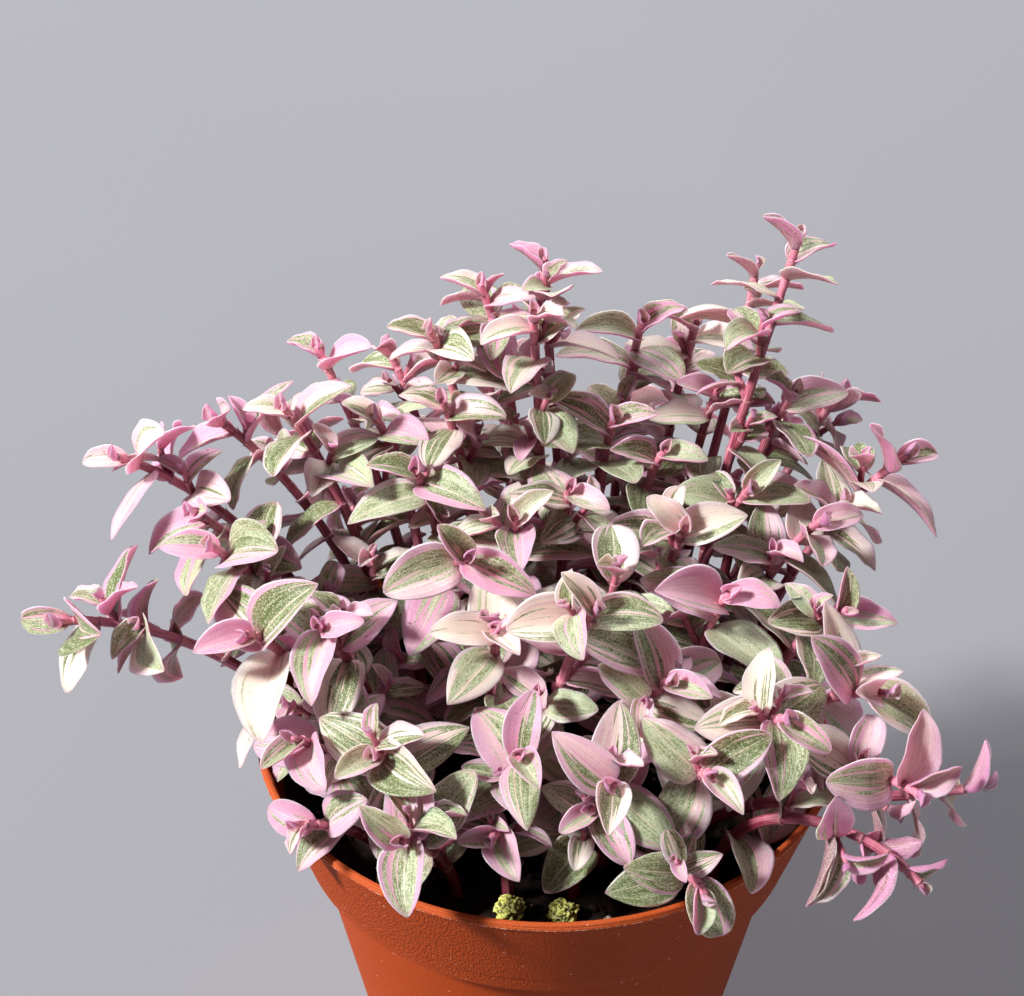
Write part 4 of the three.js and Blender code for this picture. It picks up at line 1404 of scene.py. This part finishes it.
class MakePot(bpy.types.Operator):
    """Turn the pot's section round, bore the drain holes and give it its grain"""

    bl_idname = "tradescantia.make_pot"
    bl_label = "Pot"

    def execute(self, context):
        settings = context.scene.tradescantia_pot
        radius, height, wall = settings.rim_radius / MM, settings.height / MM, settings.wall / MM
        outline = rounded([
            # up the outside
            (0, 0, 0),
            (HUB_RADIUS, 0, 0),
            (BASE_RADIUS, 0, BASE),
            (*BODY_TOP, CREASE),
            (*COLLAR_FOOT, LEDGE),
            (*COLLAR_STEP, FINE),
            (COLLAR_STEP[0] + STEP_WIDTH, COLLAR_STEP[1] + STEP_RISE, FINE),
            (*COLLAR_TOP, FINE),
            (radius, COLLAR_TOP[1] + LIP_RISE, CRISP),
            *[(radius - inset, height - depth, CRISP) for inset, depth in LIP_GROOVE],
            (radius - LIP_TAPER, height, SOFT),
            # down the inside, about a wall's thickness away
            (radius - wall, height, SOFT),
            (COLLAR_TOP[0] - wall + INNER_TOP, COLLAR_TOP[1], INSIDE),
            (COLLAR_FOOT[0] - wall + INNER_FOOT, COLLAR_FOOT[1] + wall, INSIDE),
            (BODY_TOP[0] - wall, BODY_TOP[1] + wall, INSIDE),
            (BASE_RADIUS - wall + INNER_BASE, FLOOR, FLOOR),
            (HUB_RADIUS, FLOOR, 0),
            (0, FLOOR, 0),
        ])
        points, faces = lathe(outline, settings.sides)
        growth = Growth()
        growth.add(self.with_flash(points, radius), faces)
        piece = growth.piece("moulded_pot", [pot_finish(settings)], "pot", ["pot"])
        self.bore(piece)
        piece.data.set_sharp_from_angle(angle=math.radians(SHARP_TURN))
        return {"FINISHED"}

    def with_flash(self, points, radius):
        """Leaves the thin ragged line of plastic that the mould squeezed out under the lip."""
        for point in points:
            if math.hypot(point[0], point[1]) > radius - FLASH_BAND:
                ragged = noise.noise(Vector(point) * FLASH_PITCH) * FLASH
                point[:2] *= 1 + max(ragged, FLASH_DENT) / radius
        return points

    def bore(self, piece):
        """Cuts the drain holes through the pot's floor."""
        drills = Growth()
        outline = [(0, -FLOOR), (DRAIN_RADIUS, -FLOOR), (DRAIN_RADIUS, 2 * FLOOR), (0, 2 * FLOOR)]
        points, faces = lathe(outline, DRAIN_SIDES)
        for number in range(DRAINS):
            angle = (number + 0.5) / DRAINS * math.tau
            drills.add(points + [DRAIN_RING * math.cos(angle), DRAIN_RING * math.sin(angle), 0], faces)
        drill = drills.piece("drill", [], "pot")
        cut = piece.modifiers.new("drains", "BOOLEAN")
        cut.operation = "DIFFERENCE"
        cut.solver = "EXACT"
        cut.object = drill
        graph = bpy.context.evaluated_depsgraph_get()
        bored = bpy.data.meshes.new_from_object(piece.evaluated_get(graph))
        piece.modifiers.clear()
        piece.data = bored
        bpy.data.objects.remove(drill)


def peat_height(x, y, relief):
    """The height of the peat's surface: the slow waves that its solid has, with crumbly lumps on them."""
    swell = math.sin(x * 0.13 + 1.1) * math.cos(y * 0.11 - 0.4)
    ripple = 0.6 * math.sin(x * 0.29 - y * 0.23)
    rough = sum(
        share * noise.noise(Vector((x, y, number * 7)) / pitch)
        for number, (share, pitch) in enumerate(PEAT_LUMPS)
    )
    return SOIL_TOP + SOIL_RELIEF * (swell + ripple) * 0.6 + relief * rough


class MakePeat(bpy.types.Operator):
    """Fill the pot with peat and strew crumbs, chips and fibres on it"""

    bl_idname = "tradescantia.make_peat"
    bl_label = "Peat"

    def execute(self, context):
        settings = context.scene.tradescantia_peat
        relief = settings.relief / MM
        finish = peat_finish(settings)
        self.fill(relief, finish)
        self.strew_lumps("peat_crumbs", settings.crumbs, CRUMB_SIZES, relief, finish)
        self.strew_lumps("pale_chips", settings.chips, CHIP_SIZES, relief, chip_finish(settings))
        self.strew_fibres(settings.fibres, relief, finish)
        return {"FINISHED"}

    def fill(self, relief, finish):
        """The peat itself, up to its crumbly surface."""
        rings = np.arange(PEAT_EDGE - FIRST_RING, PEAT_RING, -PEAT_RING)
        outline = [
            (0, PEAT_FOOT),
            (BASE_RADIUS - WALL_GAP, PEAT_FOOT),
            (BODY_TOP[0] - WALL_GAP, BODY_TOP[1] + WALL_GAP),
            (COLLAR_FOOT[0] - WALL_GAP, COLLAR_FOOT[1] + WALL_GAP),
            *[(radius, SOIL_TOP) for radius in (PEAT_EDGE, *rings)],
        ]
        points, faces = lathe([*outline, (0, SOIL_TOP)], PEAT_SIDES)
        for point in points:
            if point[2] > SOIL_TOP - 0.1:
                point[2] = peat_height(point[0], point[1], relief)
        growth = Growth()
        growth.add(points, faces)
        growth.piece("peat", [finish], "soil", ["soil"])

    def strew_lumps(self, name, count, sizes, relief, finish):
        """Irregular lumps, most of them small, pressed a little into the surface."""
        rng = random.Random(name)
        growth = Growth()
        ball, faces = lump(LUMP_DETAIL)
        smallest, largest = sizes
        for _ in range(count):
            size = smallest + (largest - smallest) * rng.random() ** LUMP_RARITY
            x, y = on_peat(rng, PEAT_EDGE - largest)
            squash = np.array([rng.uniform(0.6, 1.2), rng.uniform(0.5, 1.0), rng.uniform(0.45, 0.9)])
            shift = Vector((rng.uniform(0, 90), 0, 0))
            rough = [noise.noise(Vector(p) * LUMP_PITCH + shift) for p in ball]
            swell = 1 + LUMP_ROUGHNESS * np.array(rough)[:, None]
            points = (ball * swell * squash * size) @ turned(rng)
            growth.add(points + [x, y, peat_height(x, y, relief) + size * LUMP_RISE], faces)
        growth.piece(name, [finish], "soil")

    def strew_fibres(self, count, relief, finish):
        """Bent threads that lie on the surface."""
        rng = random.Random("fibres")
        growth = Growth()
        for _ in range(count):
            x, y = on_peat(rng, PEAT_EDGE - FIBRE_MARGIN)
            heading, length = rng.uniform(0, math.tau), rng.uniform(*FIBRE_LENGTHS)
            step = np.array([math.cos(heading), math.sin(heading), 0]) * length / 2
            bend = np.array([-step[1], step[0], 0]) * rng.uniform(-0.5, 0.5)
            middle = np.array([x, y, peat_height(x, y, relief) + 0.5])
            rise = UP * rng.uniform(0, 1.2)
            line = StemLine(middle - step, middle - step / 3 + bend, middle + step / 3 + rise, middle + step)
            distances = np.linspace(0, line.length, FIBRE_ROWS)
            radii = [rng.uniform(*FIBRE_RADII)] * FIBRE_ROWS
            growth.add(*closed_tube(line, distances, radii, FIBRE_SIDES))
        growth.piece("peat_fibres", [finish], "soil")


class MakeClumps(bpy.types.Operator):
    """Make the two mossy clumps behind the rim"""

    bl_idname = "tradescantia.make_clumps"
    bl_label = "Mossy clumps"

    def execute(self, context):
        finish = moss_finish(context.scene.tradescantia_peat)
        ball, faces = lump(CLUMP_DETAIL)
        for number in (1, 2):
            low, high = (np.array(corner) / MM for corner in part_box(f"granule_{number}"))
            shift = Vector((number * 9, 0, 0))
            large = np.array([noise.noise(Vector(p) * LARGE_PITCH + shift) for p in ball])
            small = np.array([noise.noise(Vector(p) * SMALL_PITCH + shift) for p in ball])
            rough = 1 + LARGE_TUFTS * large + SMALL_TUFTS * small
            half = (high - low) / 2 * CLUMP_SHARE
            middle = (high + low) / 2 * [1, 1, 0] + UP * (low[2] + half[2])
            growth = Growth()
            tone = np.column_stack([small, large, np.zeros(len(ball))])
            growth.add(ball * rough[:, None] * half + middle, faces, tone=tone)
            growth.piece(f"mossy_clump_{number}", [finish], "granule", [f"granule_{number}"])
        return {"FINISHED"}


class MakeFoliage(bpy.types.Operator):
    """Grow every leafy stem, with its older leaves and side shoots"""

    bl_idname = "tradescantia.make_foliage"
    bl_label = "Leafy stems"

    def execute(self, context):
        look = context.scene.tradescantia_foliage
        materials = [leaf_finish(look), stem_finish(look)]
        crowd = Crowd()
        for number, shoot in enumerate(SHOOTS, start=1):
            grow_shoot(shoot, number, crowd, materials, look)
        grow_young(crowd, materials, look)
        return {"FINISHED"}


class MakeStage(bpy.types.Operator):
    """Set up the pale floor, the camera and the soft studio light"""

    bl_idname = "tradescantia.make_stage"
    bl_label = "Stage"

    def execute(self, context):
        stage = context.scene.tradescantia_stage
        self.lay_floor(stage)
        self.place_camera(context, stage)
        context.scene.view_settings.view_transform = "Standard"
        self.light("key", stage.key_power, **KEY)
        self.light("fill", stage.fill_power, **FILL)
        self.fill_world(context)
        return {"FINISHED"}

    def lay_floor(self, stage):
        """A wide plain floor, a little cloudy."""
        floor_finish = Finish("floor")
        soft = floor_finish.noise(floor_finish.place(), 3.0, 2.0)
        shade = [value * FLOOR_SHADE for value in stage.floor[:3]] + [1.0]
        colour = floor_finish.mix(soft, shade, stage.floor)
        material = floor_finish.surface(Base_Color=colour, Roughness=0.9, Specular_IOR_Level=0.05)
        section = [(0, FLOOR_FOOT), (FLOOR_RADIUS, FLOOR_FOOT), (FLOOR_RADIUS, FLOOR_TOP), (0, FLOOR_TOP)]
        points, faces = lathe(section, FLOOR_SIDES)
        mesh = bpy.data.meshes.new("floor")
        mesh.from_pydata((points * MM).tolist(), [], faces)
        mesh.materials.append(material)
        put("floor", mesh)

    def place_camera(self, context, stage):
        """The camera, in front of the plant and looking down at it."""
        data = bpy.data.cameras.new("camera")
        data.lens = stage.lens
        data.sensor_width = SENSOR_WIDTH
        data.clip_start, data.clip_end = CAMERA_CLIP
        camera = put("camera", data)
        camera.location = (0, -stage.camera_distance, stage.camera_height)
        yaw, pitch = math.radians(CAMERA_YAW), math.radians(CAMERA_PITCH)
        level = math.cos(pitch)
        self.turn_to(camera, Vector((math.sin(yaw) * level, math.cos(yaw) * level, -math.sin(pitch))))
        context.scene.camera = camera

    def turn_to(self, thing, way):
        """Turns a camera or a light so that it looks this way."""
        thing.rotation_euler = way.to_track_quat("-Z", "Y").to_euler()

    def light(self, name, power, place, size, colour):
        """A square light that shines on the foot of the plant."""
        data = bpy.data.lights.new(name, "AREA")
        data.size = size * MM
        data.energy = power
        data.color = colour
        lamp = put(name, data)
        lamp.location = Vector(place) * MM
        self.turn_to(lamp, Vector((0, 0, SOIL_TOP * MM)) - lamp.location)

    def fill_world(self, context):
        """The faint light that comes from all round."""
        world = bpy.data.worlds.new("studio")
        world.use_nodes = True
        background = world.node_tree.nodes["Background"]
        background.inputs["Color"].default_value = AIR_COLOUR
        background.inputs["Strength"].default_value = AIR_STRENGTH
        context.scene.world = world


class TradescantiaPanel(bpy.types.Panel):
    """The sidebar's buttons and sizes for the plant"""

    bl_idname = "VIEW3D_PT_tradescantia"
    bl_label = "Potted Tradescantia"
    bl_space_type = "VIEW_3D"
    bl_region_type = "UI"
    bl_category = "Plant"

    def draw(self, context):
        for settings, operators in PANEL_ROWS:
            box = self.layout.box()
            for operator in operators:
                box.operator(operator.bl_idname)
            group = getattr(context.scene, settings)
            for name in group.bl_rna.properties.keys():
                if name not in ("rna_type", "name"):
                    box.prop(group, name)


SETTINGS = {
    "tradescantia_pot": PotSettings,
    "tradescantia_peat": PeatSettings,
    "tradescantia_foliage": FoliageSettings,
    "tradescantia_stage": StageSettings,
}
PANEL_ROWS = (
    ("tradescantia_pot", (MakePot,)),
    ("tradescantia_peat", (MakePeat, MakeClumps)),
    ("tradescantia_foliage", (MakeFoliage,)),
    ("tradescantia_stage", (MakeStage,)),
)
OPERATORS = (MakeStage, MakePot, MakePeat, MakeClumps, MakeFoliage)


def register():
    for kind in (*SETTINGS.values(), *OPERATORS, TradescantiaPanel):
        bpy.utils.register_class(kind)
    for name, kind in SETTINGS.items():
        setattr(bpy.types.Scene, name, PointerProperty(type=kind))


def unregister():
    for name in SETTINGS:
        delattr(bpy.types.Scene, name)
    for kind in (TradescantiaPanel, *OPERATORS, *SETTINGS.values()):
        bpy.utils.unregister_class(kind)


def main():
    """Makes the stage and the plant."""
    register()
    bpy.ops.tradescantia.make_stage()
    bpy.ops.tradescantia.make_pot()
    bpy.ops.tradescantia.make_peat()
    bpy.ops.tradescantia.make_clumps()
    bpy.ops.tradescantia.make_foliage()


if __name__ == "__main__":
    main()
